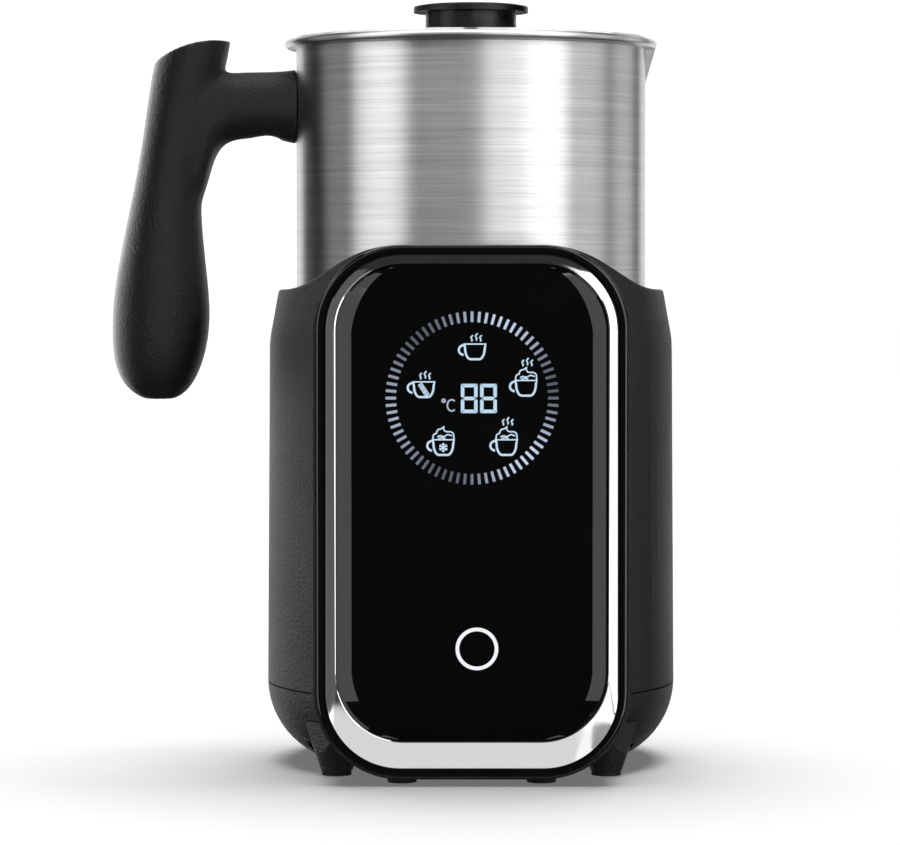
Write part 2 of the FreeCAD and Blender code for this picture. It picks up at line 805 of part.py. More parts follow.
def front_carrier():
    solid = slab("carrier_solid", carrier_outline, s.carrier_back, carrier_face,
                 s.carrier_edge_radius)
    pocket = slab("carrier_pocket", grown(sleeve_outline, s.fit), pocket_back,
                  s.frame_face + PAST)
    half, low, high, low_radius, high_radius = sleeve_outline
    hollow = slab("carrier_hollow", (
        half, low, s.shoulder_height - s.carrier_hollow_drop, low_radius,
        s.carrier_hollow_radius), s.carrier_back - PAST, pocket_back - s.carrier_back_wall)
    well = cylinder("carrier_well", well_outer + s.fit * 2,
                    well_top + s.seat - probe_boss_low, z=probe_boss_low)
    hole = cylinder("carrier_hole", hole_radius, THROUGH, z=well_top)
    cable = box("carrier_cable_slot", s.cable_slot_width, s.pocket_depth * 2,
                s.cable_slot_height, 0, -pocket_back, s.cable_slot_level)
    node(less("front_carrier", solid, pocket, hollow, well, hole, cable))


def front_frame():
    flange = slab("frame_flange_ring", frame_outline, carrier_face + s.fit, s.frame_face,
                  s.frame_edge_radius)
    sleeve = slab("frame_sleeve", sleeve_outline, pocket_back + s.fit, carrier_face + 0.5)
    recess = slab("frame_recess", groove_outline, s.bezel_seat, s.frame_face + PAST)
    window = slab("frame_window", ledge_outline, pocket_back - PAST, s.frame_face + PAST)
    node(less("front_frame", joined("frame_solid", [flange, sleeve]), recess, window))


def chrome_bezel():
    body = slab("bezel_body", bezel_outline, s.bezel_seat + s.fit, bezel_edge_face)
    slope = lofted("bezel_slope", corners_of(bezel_outline), bezel_edge_face,
                   corners_of(glass_outline), s.frame_face + s.bezel_inner_margin)
    opening = slab("bezel_opening", grown(glass_outline, s.fit), s.bezel_seat - PAST,
                   s.frame_face + PAST)
    node(less("chrome_bezel", joined("bezel_solid", [body, slope]), opening))


def glass_panel():
    body = slab("glass_body", glass_outline, s.bezel_seat + s.fit, glass_edge_face)
    bevel = lofted("glass_slope", corners_of(glass_outline), glass_edge_face,
                   corners_of(grown(glass_outline, -s.glass_bevel)),
                   s.frame_face - s.glass_face_drop)
    node(joined("glass_panel", [body, bevel]))


def display():
    front = s.bezel_seat
    back = front - s.mask_thickness
    inner = grown(ledge_outline, -s.fit * 3)
    mask = slab("mask_solid", inner, back, front)
    start, cut = PAST - front, PAST * 2
    windows = [tube("mask_ring", s.dial_radius + s.dial_slot / 2,
                    s.dial_radius - s.dial_slot / 2, cut, 0, start, s.dial_height,
                    TOWARDS_FRONT)]
    for n, x, z in around(5, s.icon_circle_radius, 90):
        windows.append(cylinder("mask_icon_%d" % n, s.icon_window_radius, cut, x, start,
                                s.dial_height + z, TOWARDS_FRONT))
    windows.append(box("mask_digits", s.digit_window_width, cut, s.digit_window_height, 0,
                       -front, s.dial_height - s.digit_window_height / 2))
    windows.append(cylinder("mask_touch", s.touch_radius + s.fit, cut, s.touch_offset,
                            start, s.touch_height, TOWARDS_FRONT))
    node(less("display_mask", mask, group("mask_windows", windows)))
    touch_front = front - s.fit
    node(cylinder("touch_pad", s.touch_radius, s.mask_thickness - s.fit * 2, s.touch_offset,
                  -(back + s.fit), s.touch_height, TOWARDS_FRONT))
    board_front = back - s.fit
    node(slab("display_board", inner, board_front - s.board_thickness, board_front))
    leds = [box("led_%d" % n, s.led_size, s.led_size / 2, s.led_size, x,
                -board_front - s.led_size / 4, s.dial_height + z - s.led_size / 2)
            for n, x, z in around(24, s.dial_radius)]
    leds += [box("icon_led_%d" % n, s.led_size, s.led_size / 2, s.led_size, x,
                 -board_front - s.led_size / 4, s.dial_height + z - s.led_size / 2)
             for n, x, z in around(5, s.icon_circle_radius, 90)]
    node(group("display_leds", leds))
    node(box("digit_display", s.digit_window_width - s.digit_gap * 2,
             s.mask_thickness - s.fit, s.digit_window_height - s.digit_gap * 2, 0,
             -board_front - (s.mask_thickness - s.fit) / 2,
             s.dial_height - s.digit_window_height / 2 + s.digit_gap))


# ---------------------------------------------------------------- base: well and coil


def probe_place(z):
    return (0, s.probe_offset, z)


def jug_well():
    cup = revolved("well_cup", [
        (0, well_floor_low), (well_outer, well_floor_low), (well_outer, well_top),
        (well_inner, well_top), (well_inner, well_floor_top), (0, well_floor_top)])
    bosses = [cylinder("well_boss_%d" % n, s.boss_radius, coil_plate_gap + 1, x, y,
                       coil_plate_top) for n, x, y in around(3, s.boss_circle_radius, 30)]
    probe_boss = cylinder("well_probe_boss", s.probe_boss_radius, s.probe_boss_height + 1,
                          *probe_place(probe_boss_low))
    whole = joined("well_whole", [cup, probe_boss] + bosses)
    bores = [cylinder("well_boss_bore_%d" % n, s.small_screw_radius, coil_screw_shank, x, y,
                      coil_plate_top - 0.5)
             for n, x, y in around(3, s.boss_circle_radius, 30)]
    guide = cylinder("well_probe_guide", s.probe_radius + s.fit, THROUGH,
                     *probe_place(probe_boss_low - 1))
    chamber = cylinder("well_probe_chamber", s.probe_flange_radius + s.fit,
                       s.probe_boss_height, *probe_place(probe_boss_low))
    node(less("jug_well", whole, group("well_bores", bores), guide, chamber))


coil_screw_shank = as_size(4.0)
coil_plate_top = well_floor_low - s.coil_air_gap - s.coil_height - s.fit * 2
coil_plate_low = coil_plate_top - s.coil_plate_thickness
coil_plate_gap = well_floor_low - coil_plate_top


def heater():
    node(tube("induction_coil", s.coil_outer_radius, s.coil_inner_radius, s.coil_height,
              z=coil_plate_top + s.fit))
    plate = cylinder("coil_plate_solid", s.coil_plate_radius, s.coil_plate_thickness,
                     z=coil_plate_low)
    hole = cylinder("coil_plate_hole", s.coil_inner_radius - 0.5, THROUGH,
                    z=coil_plate_low - PAST)
    drills = [cylinder("coil_plate_drill_%d" % n, s.screw_radius + s.drill_gap, THROUGH, x,
                       y, coil_plate_low - PAST)
              for n, x, y in around(3, s.boss_circle_radius, 30)]
    drills += [cylinder("coil_plate_standoff_drill_%d" % n, s.small_screw_radius, THROUGH,
                        x, y, coil_plate_low - PAST)
               for n, x, y in around(3, s.standoff_circle_radius, 90)]
    node(less("coil_carrier", plate, hole, group("coil_plate_drills", drills)))
    middle = (s.coil_inner_radius + s.coil_outer_radius) / 2 + 1
    bars = [box("ferrite_%d" % n, s.ferrite_length, s.ferrite_width, s.ferrite_height,
                middle, 0, coil_plate_low - s.ferrite_height, 60.0 * n) for n in range(6)]
    node(group("ferrite_bars", bars))
    screws = [screw("coil_screw_%d" % n, x, y, coil_plate_low - 2.0, coil_screw_shank - 0.6,
                    radius=s.small_screw_radius, head=s.small_screw_head_radius)
              for n, x, y in around(3, s.boss_circle_radius, 30)]
    node(group("coil_screws", screws))


# ---------------------------------------------------------------- base: stirrer motor


bracket_top = coil_plate_low - s.standoff_height
bracket_low = bracket_top - s.bracket_thickness
motor_low = bracket_low - s.motor_height
rotor_low = bracket_top + s.rotor_rise
rotor_top = rotor_low + s.rotor_height
motor_thread = as_size(4.0)


def motor():
    plate = cylinder("bracket_plate", s.bracket_radius, s.bracket_thickness, z=bracket_low)
    stands = [cylinder("bracket_standoff_%d" % n, s.standoff_radius,
                       s.standoff_height + 0.5, x, y, bracket_top - 0.5)
              for n, x, y in around(3, s.standoff_circle_radius, 90)]
    drills = [cylinder("bracket_drill_%d" % n, s.small_screw_radius + s.drill_gap, THROUGH,
                       x, y, bracket_low - PAST)
              for n, x, y in around(3, s.standoff_circle_radius, 90)]
    hole = cylinder("bracket_hole", s.shaft_radius + s.motor_collar_wall + 0.5, THROUGH,
                    z=bracket_low - PAST)
    sides = [cylinder("bracket_screw_hole_%d" % i, s.motor_screw_radius + s.drill_gap,
                      THROUGH, s.motor_screw_offset * i, 0, bracket_low - PAST)
             for i in (-1, 1)]
    node(less("motor_bracket", joined("bracket_whole", [plate] + stands), hole,
              group("bracket_drills", drills + sides)))
    can = cylinder("motor_can_solid", s.motor_radius, s.motor_height, z=motor_low)
    collar = cylinder("motor_collar", s.shaft_radius + s.motor_collar_wall,
                      s.motor_collar_height, z=bracket_low)
    bore = cylinder("motor_bore", s.shaft_radius + s.fit, s.motor_height + PAST,
                    z=motor_low + 3)
    tabs = [box("motor_tab_%d" % i, 0.6, s.motor_tab_width, s.motor_tab_length,
                s.motor_tab_width * i, 0, motor_low - s.motor_tab_length + 0.1)
            for i in (-1, 1)]
    threads = [cylinder("motor_thread_%d" % i, s.motor_screw_radius, motor_thread,
                        s.motor_screw_offset * i, 0, bracket_low - motor_thread)
               for i in (-1, 1)]
    node(less("motor_can", joined("motor_can_whole", [can, collar] + tabs), bore,
              group("motor_threads", threads)))
    node(group("motor_screws", [
        screw("motor_screw_%d" % i, s.motor_screw_offset * i, 0, bracket_top + 1.2,
              s.bracket_thickness + motor_thread - 1, 1.2, -1, s.motor_screw_radius,
              s.motor_screw_head_radius) for i in (-1, 1)]))
    node(group("bracket_screws", [
        screw("bracket_screw_%d" % n, x, y, bracket_low - 1.8,
              s.standoff_height + s.bracket_thickness + 1.0, 1.8,
              radius=s.small_screw_radius, head=s.small_screw_head_radius)
        for n, x, y in around(3, s.standoff_circle_radius, 90)]))
    node(cylinder("motor_shaft", s.shaft_radius, rotor_top - motor_low - PAST,
                  z=motor_low + PAST))
    disc = cylinder("rotor_disc", s.rotor_radius, s.rotor_height, z=rotor_low)
    hub = cylinder("rotor_hub", s.shaft_radius + 1.8, 1.5, z=rotor_low - 1.0)
    shaft_hole = cylinder("rotor_bore", s.shaft_radius, THROUGH, z=rotor_low - PAST)
    pocket_low = rotor_top - s.rotor_pocket_depth
    pockets = [cylinder("rotor_pocket_%d" % i, s.drive_magnet_radius, PAST,
                        s.drive_magnet_offset * i, 0, pocket_low) for i in (-1, 1)]
    node(less("magnet_rotor", joined("rotor_whole", [disc, hub]), shaft_hole,
              group("rotor_pockets", pockets)))
    node(group("drive_magnets", [
        cylinder("drive_magnet_%d" % i, s.drive_magnet_radius, s.drive_magnet_height,
                 s.drive_magnet_offset * i, 0, pocket_low) for i in (-1, 1)]))


# ---------------------------------------------------------------- base: temperature probe


def probe():
    top = s.jug_seat_height - s.seat * 1.25
    flange_low = well_floor_low - 0.3 - s.probe_flange_thickness
    pin = cylinder("probe_pin", s.probe_radius, top - flange_low, *probe_place(flange_low))
    flange = cylinder("probe_flange", s.probe_flange_radius, s.probe_flange_thickness,
                      *probe_place(flange_low))
    node(joined("temp_probe", [pin, flange]))
    node(tube("probe_cap", s.probe_boss_radius, s.probe_cap_bore, s.probe_cap_thickness,
              *probe_place(probe_boss_low - s.probe_cap_thickness)))
    node(tube("probe_spring", s.spring_outer_radius, s.spring_inner_radius,
              flange_low - s.fit - probe_boss_low, *probe_place(probe_boss_low)))


# ---------------------------------------------------------------- base: electronics


def electronics():
    top = s.power_board_height + s.board_thickness
    plate = box("power_board_plate", s.power_board_width, s.power_board_depth,
                s.board_thickness, 0, -s.power_board_centre, s.power_board_height)
    drills = [cylinder("power_board_drill_%d_%d" % (i, j),
                       s.board_screw_radius + s.drill_gap, PAST * 2, board_post_x * i,
                       board_post_y(j), s.power_board_height - PAST) for i, j in CORNERS]
    node(less("power_board", plate, group("power_board_drills", drills)))
    node(group("board_screws", [
        screw("board_screw_%d_%d" % (i, j), board_post_x * i, board_post_y(j), top + 1.5,
              board_screw_shank, 1.5, -1, s.board_screw_radius, s.board_screw_radius * 2)
        for i, j in CORNERS]))
    middle, right = -s.power_board_centre, s.power_board_width / 2
    node(group("capacitors", [
        cylinder("capacitor_%d" % n, s.capacitor_radius, s.capacitor_height,
                 right - 12 - s.capacitor_pitch * n, middle + 10, top) for n in range(2)]))
    node(box("film_capacitor", 18, 9, 14, right - 17, middle - 6, top))
    fin_count = 6
    fins = [box("heatsink_fin_%d" % n, s.fin_thickness, s.heatsink_depth, s.fin_height,
                11 - right + s.fin_pitch * n, middle + 2, top) for n in range(fin_count)]
    span = s.fin_pitch * (fin_count - 1)
    base = box("heatsink_base", span + s.fin_thickness, s.heatsink_depth, s.heatsink_base,
               11 - right + span / 2, middle + 2, top)
    node(joined("heatsink", fins + [base]))
    node(tube("filter_choke", s.choke_radius, s.choke_bore, s.choke_height, 1, middle - 8,
              top))
    node(box("mains_connector", 12, 8, 9, 2, middle + 11, top))


def fan():
    low = s.floor_height + s.drum_wall + s.fit
    body = box("fan_body", s.fan_size, s.fan_size, s.fan_height, 0, s.fan_centre, low)
    duct = cylinder("fan_duct", s.fan_blade_radius + 0.9, THROUGH, 0, s.fan_centre,
                    low - PAST)
    spider_low = low + s.fan_height - s.fan_spider
    spider = box("fan_spider", s.fan_size - 2, 3, s.fan_spider, 0, s.fan_centre, spider_low)
    cross = box("fan_cross", 3, s.fan_size - 2, s.fan_spider, 0, s.fan_centre, spider_low)
    seat = cylinder("fan_seat", s.fan_hub_radius - 2, s.fan_spider, 0, s.fan_centre,
                    spider_low)
    pin = cylinder("fan_pin", s.fan_pin_radius, 6, 0, s.fan_centre, low + s.fan_height - 6)
    ring = less("fan_ring", body, duct)
    node(joined("fan_frame", [ring, spider, cross, seat, pin]))
    hub_top = low + s.fan_height - 1.5
    hub = cylinder("fan_hub", s.fan_hub_radius, hub_top - low - 0.8, 0, s.fan_centre,
                   low + 0.8)
    blades = []
    blade_count = 7
    for n in range(blade_count):
        angle = 360.0 * n / blade_count
        blade = named("Part::Box", "fan_blade_%d" % n)
        bind(blade, "Length", s.fan_blade_radius - 3)
        bind(blade, "Width", 1.0)
        bind(blade, "Height", 6.0)
        spin = FreeCAD.Rotation(FreeCAD.Vector(0, 0, 1), angle)
        lean = FreeCAD.Rotation(FreeCAD.Vector(1, 0, 0), s.fan_blade_lean.value)
        blade.Placement = FreeCAD.Placement(FreeCAD.Vector(), spin.multiply(lean))
        start = spin.multVec(FreeCAD.Vector(3, 1.5, 0))
        place_blade = (start.x, s.fan_centre + start.y, low + 1.6)
        for letter, size in zip("xyz", place_blade):
            bind(blade, "Placement.Base." + letter, size)
        blades.append(blade)
    limit = cylinder("fan_blade_limit", s.fan_blade_radius, hub_top - low - 0.8, 0,
                     s.fan_centre, low + 0.8)
    bladed = common("fan_bladed", joined("fan_rotor_solid", blades), limit)
    bore = cylinder("fan_bore", s.fan_pin_radius + s.fit, THROUGH, 0, s.fan_centre,
                    low - PAST)
    node(less("fan_rotor", joined("fan_rotor_whole", [hub, bladed]), bore))


def cord_gland():
    back = s.drum_low_radius + s.gland_stand_out
    body = cylinder("gland_body", s.gland_radius, s.gland_length, 0, back, s.gland_height,
                    TOWARDS_FRONT)
    flange = cylinder("gland_flange", s.gland_radius + s.gland_flange_margin,
                      s.gland_flange, 0, back, s.gland_height, TOWARDS_FRONT)
    bore = cylinder("gland_bore", s.gland_bore_radius, THROUGH, 0, back + PAST,
                    s.gland_height, TOWARDS_FRONT)
    node(less("cord_gland", joined("gland_whole", [body, flange]), bore))


def housing_screws():
    head = 2.0
    low = s.seam_height - s.screw_seat_drop - s.seat - head
    screws = [screw("housing_screw_%d_%d" % (i, j), s.screw_x * i, s.screw_y * j, low,
                    screw_shank, head) for i, j in CORNERS]
    node(group("housing_screws", screws))


# ---------------------------------------------------------------- jug


def spout_solid(label, outwards, low, top):
    """A V-shaped wedge that swells from the jug wall; outwards moves its faces."""
    point = FreeCAD.Vector
    height = top - low
    tip = s.rim_radius.value + outwards
    wall = jug_inner.value - 3.0
    half = s.spout_half_width.value + outwards
    foot = point(s.jug_radius.value + outwards - 0.4, 0, low)
    left, right = point(wall, half, top), point(wall, -half, top)
    inner = point(wall - 3.0, 0, top)
    front = point(tip, 0, low + height)
    faces = [(foot, right, front), (foot, front, left), (foot, left, inner),
             (foot, inner, right), (right, inner, left, front)]
    wires = [Part.Face(Part.makePolygon(list(f) + [f[0]])) for f in faces]
    thing = named("Part::Feature", label)
    thing.Shape = Part.makeSolid(Part.makeShell(wires))
    return thing


def jug_shell():
    outer = revolved("jug_outer", [
        (0, jug_floor_low), (s.jug_radius, jug_floor_low), (s.jug_radius, flare_height),
        (bead_circle, s.rim_height - s.bead_radius * 2), (bead_circle, bead_height + 0.4),
        (0, bead_height + 0.4)])
    low = jug_floor_low.value
    filleted(outer, "jug_outer_corner", s.jug_corner,
             lambda e: near(e.BoundBox.ZMin, low) and near(e.BoundBox.ZMax, low))
    inner = revolved("jug_inner", [
        (0, jug_floor_top), (jug_inner, jug_floor_top),
        (jug_inner, flare_height + 0.3),
        (bead_circle - 0.5, s.rim_height - s.bead_radius * 0.1),
        (bead_circle - 0.5, s.rim_height + 2), (0, s.rim_height + 2)])
    floor = jug_floor_top.value
    filleted(inner, "jug_inner_corner", s.jug_corner - s.jug_wall,
             lambda e: near(e.BoundBox.ZMin, floor) and near(e.BoundBox.ZMax, floor))
    bead = named("Part::Torus", "jug_bead")
    bind(bead, "Radius1", bead_circle)
    bind(bead, "Radius2", s.bead_radius)
    place(bead, z=bead_height)
    spout_low = s.rim_height.value - s.spout_height.value
    spout_top = bead_height.value
    outside = spout_solid("spout_outside", 0.0, spout_low, spout_top)
    wall = s.jug_wall.value
    inside = spout_solid("spout_inside", -wall, spout_low + wall, s.rim_height.value + 0.5)
    node(less("jug_shell", joined("jug_solid", [outer, bead, outside]), inner, inside))
    node(cylinder("jug_base_disc", s.jug_disc_radius, s.jug_disc_thickness,
                  z=s.jug_seat_height))
    node(cylinder("whisk_post", s.post_radius, s.post_height, z=jug_floor_top))


arm_axis_height = s.rim_height - s.arm_drop_3
tongue_half_width = as_size(6.0)
tongue_half_height = as_size(2.0)
tongue_reach = as_size(14.0)
tongue_end = s.jug_radius + tongue_reach
handle_screw_x = -(s.jug_radius + 8.5)
handle_screw_shank = as_size(10.0)
handle_screw_low = arm_axis_height - 8.5


def loft_of_ellipses(sections):
    """A solid through ellipses, each given as centre, two axis directions and two radii."""
    wires = []
    for centre, across, side, radius, width in sections:
        major, minor = (across, side) if radius >= width else (side, across)
        long_radius, short_radius = max(radius, width), min(radius, width)
        if long_radius - short_radius < 0.01:
            short_radius = long_radius - 0.01
        ellipse = Part.Ellipse(centre + major * long_radius, centre + minor * short_radius,
                               centre)
        wires.append(Part.Wire(ellipse.toShape()))
    return Part.makeLoft(wires, True, False)


def handle():
    x, y, z = (FreeCAD.Vector(*v) for v in ((1, 0, 0), (0, 1, 0), (0, 0, 1)))
    wall, rim = s.jug_radius.value, s.rim_height.value

    def cell(word, number):
        return getattr(s, "%s_%d" % (word, number)).value

    grip = [(FreeCAD.Vector(-(wall + cell("grip_out", n)), 0, rim - cell("grip_drop", n)),
             x, y, cell("grip_depth", n), cell("grip_width", n))
            for n in range(1, len(GRIP_SECTIONS) + 1)]
    arm = [(FreeCAD.Vector(-(wall + cell("arm_out", n)), 0, rim - cell("arm_drop", n)),
            z, y, cell("arm_height", n), cell("arm_width", n))
           for n in range(1, len(ARM_SECTIONS) + 1)]
    solid = named("Part::Feature", "handle_solid")
    solid.Shape = loft_of_ellipses(grip).fuse(loft_of_ellipses(arm)).removeSplitter()
    crown_out, across, reach, drop, arm_limit = 22.0, 60, 90, 115, 20.5
    crown_z = s.rim_height - s.thumb_rest_radius
    crown = cylinder("handle_crown_limit", s.thumb_rest_radius, across,
                     -(s.jug_radius + crown_out), across / 2, crown_z, TOWARDS_FRONT)
    below = box("handle_below_crown", reach, across, as_size(drop) - s.thumb_rest_radius,
                -(s.jug_radius + reach / 3), 0, s.rim_height - drop)
    beside = box("handle_beside_crown", arm_limit + PAST, across, s.thumb_rest_radius,
                 -(s.jug_radius + (arm_limit - PAST) / 2), 0, crown_z)
    top = common("handle_trimmed", solid, joined("handle_limit", [crown, below, beside]))
    jug = cylinder("handle_jug_face", s.jug_radius + s.fit, s.rim_height * 2)
    gap = s.drill_gap
    slot = box("handle_slot", THROUGH, (tongue_half_width + gap) * 2,
               (tongue_half_height + gap) * 2, THROUGH / 2 - tongue_end - s.fit, 0,
               arm_axis_height - tongue_half_height - gap)
    drill = cylinder("handle_drill", s.screw_radius + gap, handle_screw_shank + 4,
                     handle_screw_x, 0, handle_screw_low)
    counterbore = cylinder("handle_counterbore", s.screw_head_radius + s.seat, 9,
                           handle_screw_x, 0, handle_screw_low - 7)
    node(less("handle", top, jug, slot, drill, counterbore))
    plate = box("bracket_tongue", tongue_reach * 2, tongue_half_width * 2,
                tongue_half_height * 2, -s.jug_radius, 0,
                arm_axis_height - tongue_half_height)
    bracket_jug = cylinder("bracket_jug_face", s.jug_radius, s.rim_height * 2)
    bracket_drill = cylinder("bracket_tap", s.screw_radius, THROUGH, handle_screw_x, 0,
                             arm_axis_height - THROUGH / 2)
    node(less("handle_bracket", plate, bracket_jug, bracket_drill))
    node(screw("handle_screw", handle_screw_x, 0, handle_screw_low, handle_screw_shank))


# ---------------------------------------------------------------- lid and whisk


knob_screw_grip = as_size(4.0)


def lid():
    flange_low = flare_height + s.lid_rest
    flange_top = flange_low + s.lid_thickness - 0.6
    plug = jug_inner - s.lid_gap - 0.1
    edge = jug_inner + s.lid_edge_margin
    plug_low = flange_low - s.lid_plug_height
    groove_low = plug_low + s.seal_rise
    groove_top = groove_low + s.seal_height
    plug_inner = plug - s.seal_depth - s.lid_plug_wall
    node(revolved("lid_plate", [
        (0, flange_low), (plug_inner, flange_low), (plug_inner, plug_low),
        (plug, plug_low), (plug, groove_low), (plug - s.seal_depth, groove_low),
        (plug - s.seal_depth, groove_top), (plug, groove_top),
        (plug, flange_low - 0.8), (edge, flange_low + 0.4), (edge, flange_top),
        (0, flange_top)]))
    node(revolved("lid_seal", [
        (plug - s.seal_depth + s.fit, groove_low + s.fit),
        (plug, groove_low + s.fit), (plug + s.lid_gap, groove_low + s.seal_height / 2),
        (plug, groove_top - s.fit), (plug - s.seal_depth + s.fit, groove_top - s.fit)]))
    disc_low = s.rim_height + s.knob_disc_rise
    top = disc_low + s.knob_edge
    knob = revolved("knob_solid", [
        (0, flange_top), (s.knob_neck_radius, flange_top),
        (s.knob_neck_radius, disc_low), (s.knob_radius, disc_low),
        (s.knob_radius, top), (s.knob_radius - 2.4, top + s.knob_crown * 0.6),
        (s.knob_radius - 8, top + s.knob_crown), (0, top + s.knob_crown)])
    disc, edge_z = s.knob_radius.value, top.value
    filleted(knob, "knob_edge_round", 0.5, lambda e: near(e.BoundBox.ZMin, edge_z)
             and near(e.BoundBox.ZMax, edge_z) and near(e.BoundBox.XMax, disc, 0.1))
    bore = cylinder("knob_bore", s.knob_bore_radius, knob_screw_grip + 1, z=flange_top - 0.5)
    node(less("lid_knob", knob, bore))
    lid_plate = nodes.pop("lid_plate")
    lid_plate.Label = "lid_plate_solid"
    drill = cylinder("lid_drill", s.knob_bore_radius + s.fit, THROUGH, z=flange_low - PAST)
    node(less("lid_plate", lid_plate, drill))
    node(screw("knob_screw", 0, 0, flange_low - 1.6,
               flange_top - flange_low + knob_screw_grip, 1.6,
               radius=s.knob_bore_radius, head=s.screw_head_radius))


def whisk():
    low = jug_floor_top + 0.5
    outer = s.post_radius + s.fit + s.bush_wall
    bush = tube("bush_sleeve", outer, s.post_radius + s.fit, s.post_height - 2.0, z=low)
    collar = tube("bush_collar", outer + 1.2, s.post_radius + s.fit, 1.0, z=low)
    node(joined("whisk_bush", [bush, collar]))
    hub_low = low + 1.0 + s.seat
    hub = cylinder("hub_solid", s.hub_radius, s.hub_height, z=hub_low)
    arm_top = hub_low + s.hub_height - 1.0
    arms = joined("hub_arms", [
        box("hub_arm_%d" % n, (s.whisk_radius - 1.5) * 2, 2.6, 2.0, 0, 0, arm_top - 1.5,
            60.0 * n) for n in range(3)])
    bore = cylinder("hub_bore", outer + s.fit, 30, z=hub_low - 5)
    pockets = group("hub_pockets", [
        cylinder("hub_pocket_%d" % n, s.whisk_magnet_radius, 4.0, x, y, hub_low - 1.0)
        for n, x, y in around(2, (outer + s.hub_radius) / 2)])
    ring = named("Part::Torus", "whisk_coil_ring")
    bind(ring, "Radius1", s.whisk_radius + 1.0)
    bind(ring, "Radius2", s.whisk_wire_radius)
    ring_height = arm_top - 0.5
    place(ring, z=ring_height)
    inside = named("Part::Torus", "whisk_coil_inside")
    bind(inside, "Radius1", s.whisk_radius + 1.0)
    bind(inside, "Radius2", s.whisk_wire_radius - s.whisk_wire)
    place(inside, z=ring_height)
    hub_whole = less("hub_whole", joined("hub_with_arms", [hub, arms]), bore, pockets)
    coil = less("whisk_coil", ring, inside)
    arm_cut = named("Part::Torus", "hub_coil_clearance")
    bind(arm_cut, "Radius1", s.whisk_radius + 1.0)
    bind(arm_cut, "Radius2", s.whisk_wire_radius + s.fit)
    place(arm_cut, z=ring_height)
    node(less("whisk_hub", hub_whole, arm_cut))
    node(coil)
    node(group("whisk_magnets", [
        cylinder("whisk_magnet_%d" % n, s.whisk_magnet_radius, 2.9, x, y, hub_low + 0.1)
        for n, x, y in around(2, (outer + s.hub_radius) / 2)]))


# ---------------------------------------------------------------- build, check and write


def check_and_write():
    doc.recompute()
    for thing in doc.Objects:
        bad = [state for state in thing.State if state in ("Invalid", "Error")]
        if bad:
            raise RuntimeError("%s is %s" % (thing.Label, bad))
    os.makedirs("parts", exist_ok=True)
    for label, thing in nodes.items():
        shape = thing.Shape
        if shape.isNull() or not shape.isValid() or not shape.Solids:
            raise RuntimeError("%s has no valid shape" % label)
        shape.exportStep("parts/%s.step" % label)
        print("%-18s %2d solid(s) %10.1f mm3" % (label, len(shape.Solids), shape.Volume))


upper_housing()
lower_cover()
feet()
front_carrier()
front_frame()
chrome_bezel()
glass_panel()
display()
jug_well()
heater()
motor()
probe()
electronics()
fan()
cord_gland()
housing_screws()
jug_shell()
handle()
lid()
whisk()
check_and_write()
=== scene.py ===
import json
import math

import bmesh
import bpy
from mathutils import Matrix, Vector


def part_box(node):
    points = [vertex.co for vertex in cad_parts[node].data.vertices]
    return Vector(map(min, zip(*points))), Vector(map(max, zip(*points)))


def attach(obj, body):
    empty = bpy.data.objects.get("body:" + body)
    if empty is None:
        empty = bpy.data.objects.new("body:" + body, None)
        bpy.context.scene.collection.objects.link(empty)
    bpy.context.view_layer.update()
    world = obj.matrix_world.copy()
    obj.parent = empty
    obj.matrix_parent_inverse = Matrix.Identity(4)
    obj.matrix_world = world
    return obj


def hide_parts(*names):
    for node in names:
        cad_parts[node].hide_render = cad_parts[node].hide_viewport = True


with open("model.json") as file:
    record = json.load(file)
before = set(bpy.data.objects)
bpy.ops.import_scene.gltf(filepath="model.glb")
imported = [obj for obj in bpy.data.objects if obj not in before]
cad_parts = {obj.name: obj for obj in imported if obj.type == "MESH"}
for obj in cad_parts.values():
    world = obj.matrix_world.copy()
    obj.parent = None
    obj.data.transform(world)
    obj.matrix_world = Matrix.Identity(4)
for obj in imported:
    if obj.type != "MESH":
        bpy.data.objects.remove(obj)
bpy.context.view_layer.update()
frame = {"nodes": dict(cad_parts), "record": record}
nodes = frame["nodes"]
MM = 0.001


# ---------------------------------------------------------------- materials


def material(name, color=(0.5, 0.5, 0.5), roughness=0.5, metallic=0.0, **sockets):
    """A Principled material; sockets are named as in Blender, with _ for spaces."""
    made = bpy.data.materials.new(name)
    made.use_nodes = True
    shader = made.node_tree.nodes["Principled BSDF"]
    shader.inputs["Base Color"].default_value = (*color, 1.0)
    shader.inputs["Roughness"].default_value = roughness
    shader.inputs["Metallic"].default_value = metallic
    for key, value in sockets.items():
        shader.inputs[key.replace("_", " ")].default_value = value
    return made


def tree_of(made):
    """The material's node tree and its shader."""
    tree = made.node_tree
    return tree, tree.nodes["Principled BSDF"]


def add(tree, kind):
    """A new shader node; kind is its type without the ShaderNode in front."""
    return tree.nodes.new("ShaderNode" + kind)


def noise(tree, scale, stretch=(1, 1, 1), detail=4.0, roughness=0.55):
    """A noise in the object's own metres; scale is in repeats per metre."""
    place = add(tree, "TexCoord")
    mapping = add(tree, "Mapping")
    mapping.inputs["Scale"].default_value = stretch
    texture = add(tree, "TexNoise")
    texture.inputs["Scale"].default_value = scale
    texture.inputs["Detail"].default_value = detail
    texture.inputs["Roughness"].default_value = roughness
    tree.links.new(place.outputs["Object"], mapping.inputs["Vector"])
    tree.links.new(mapping.outputs["Vector"], texture.inputs["Vector"])
    return texture.outputs["Fac"]


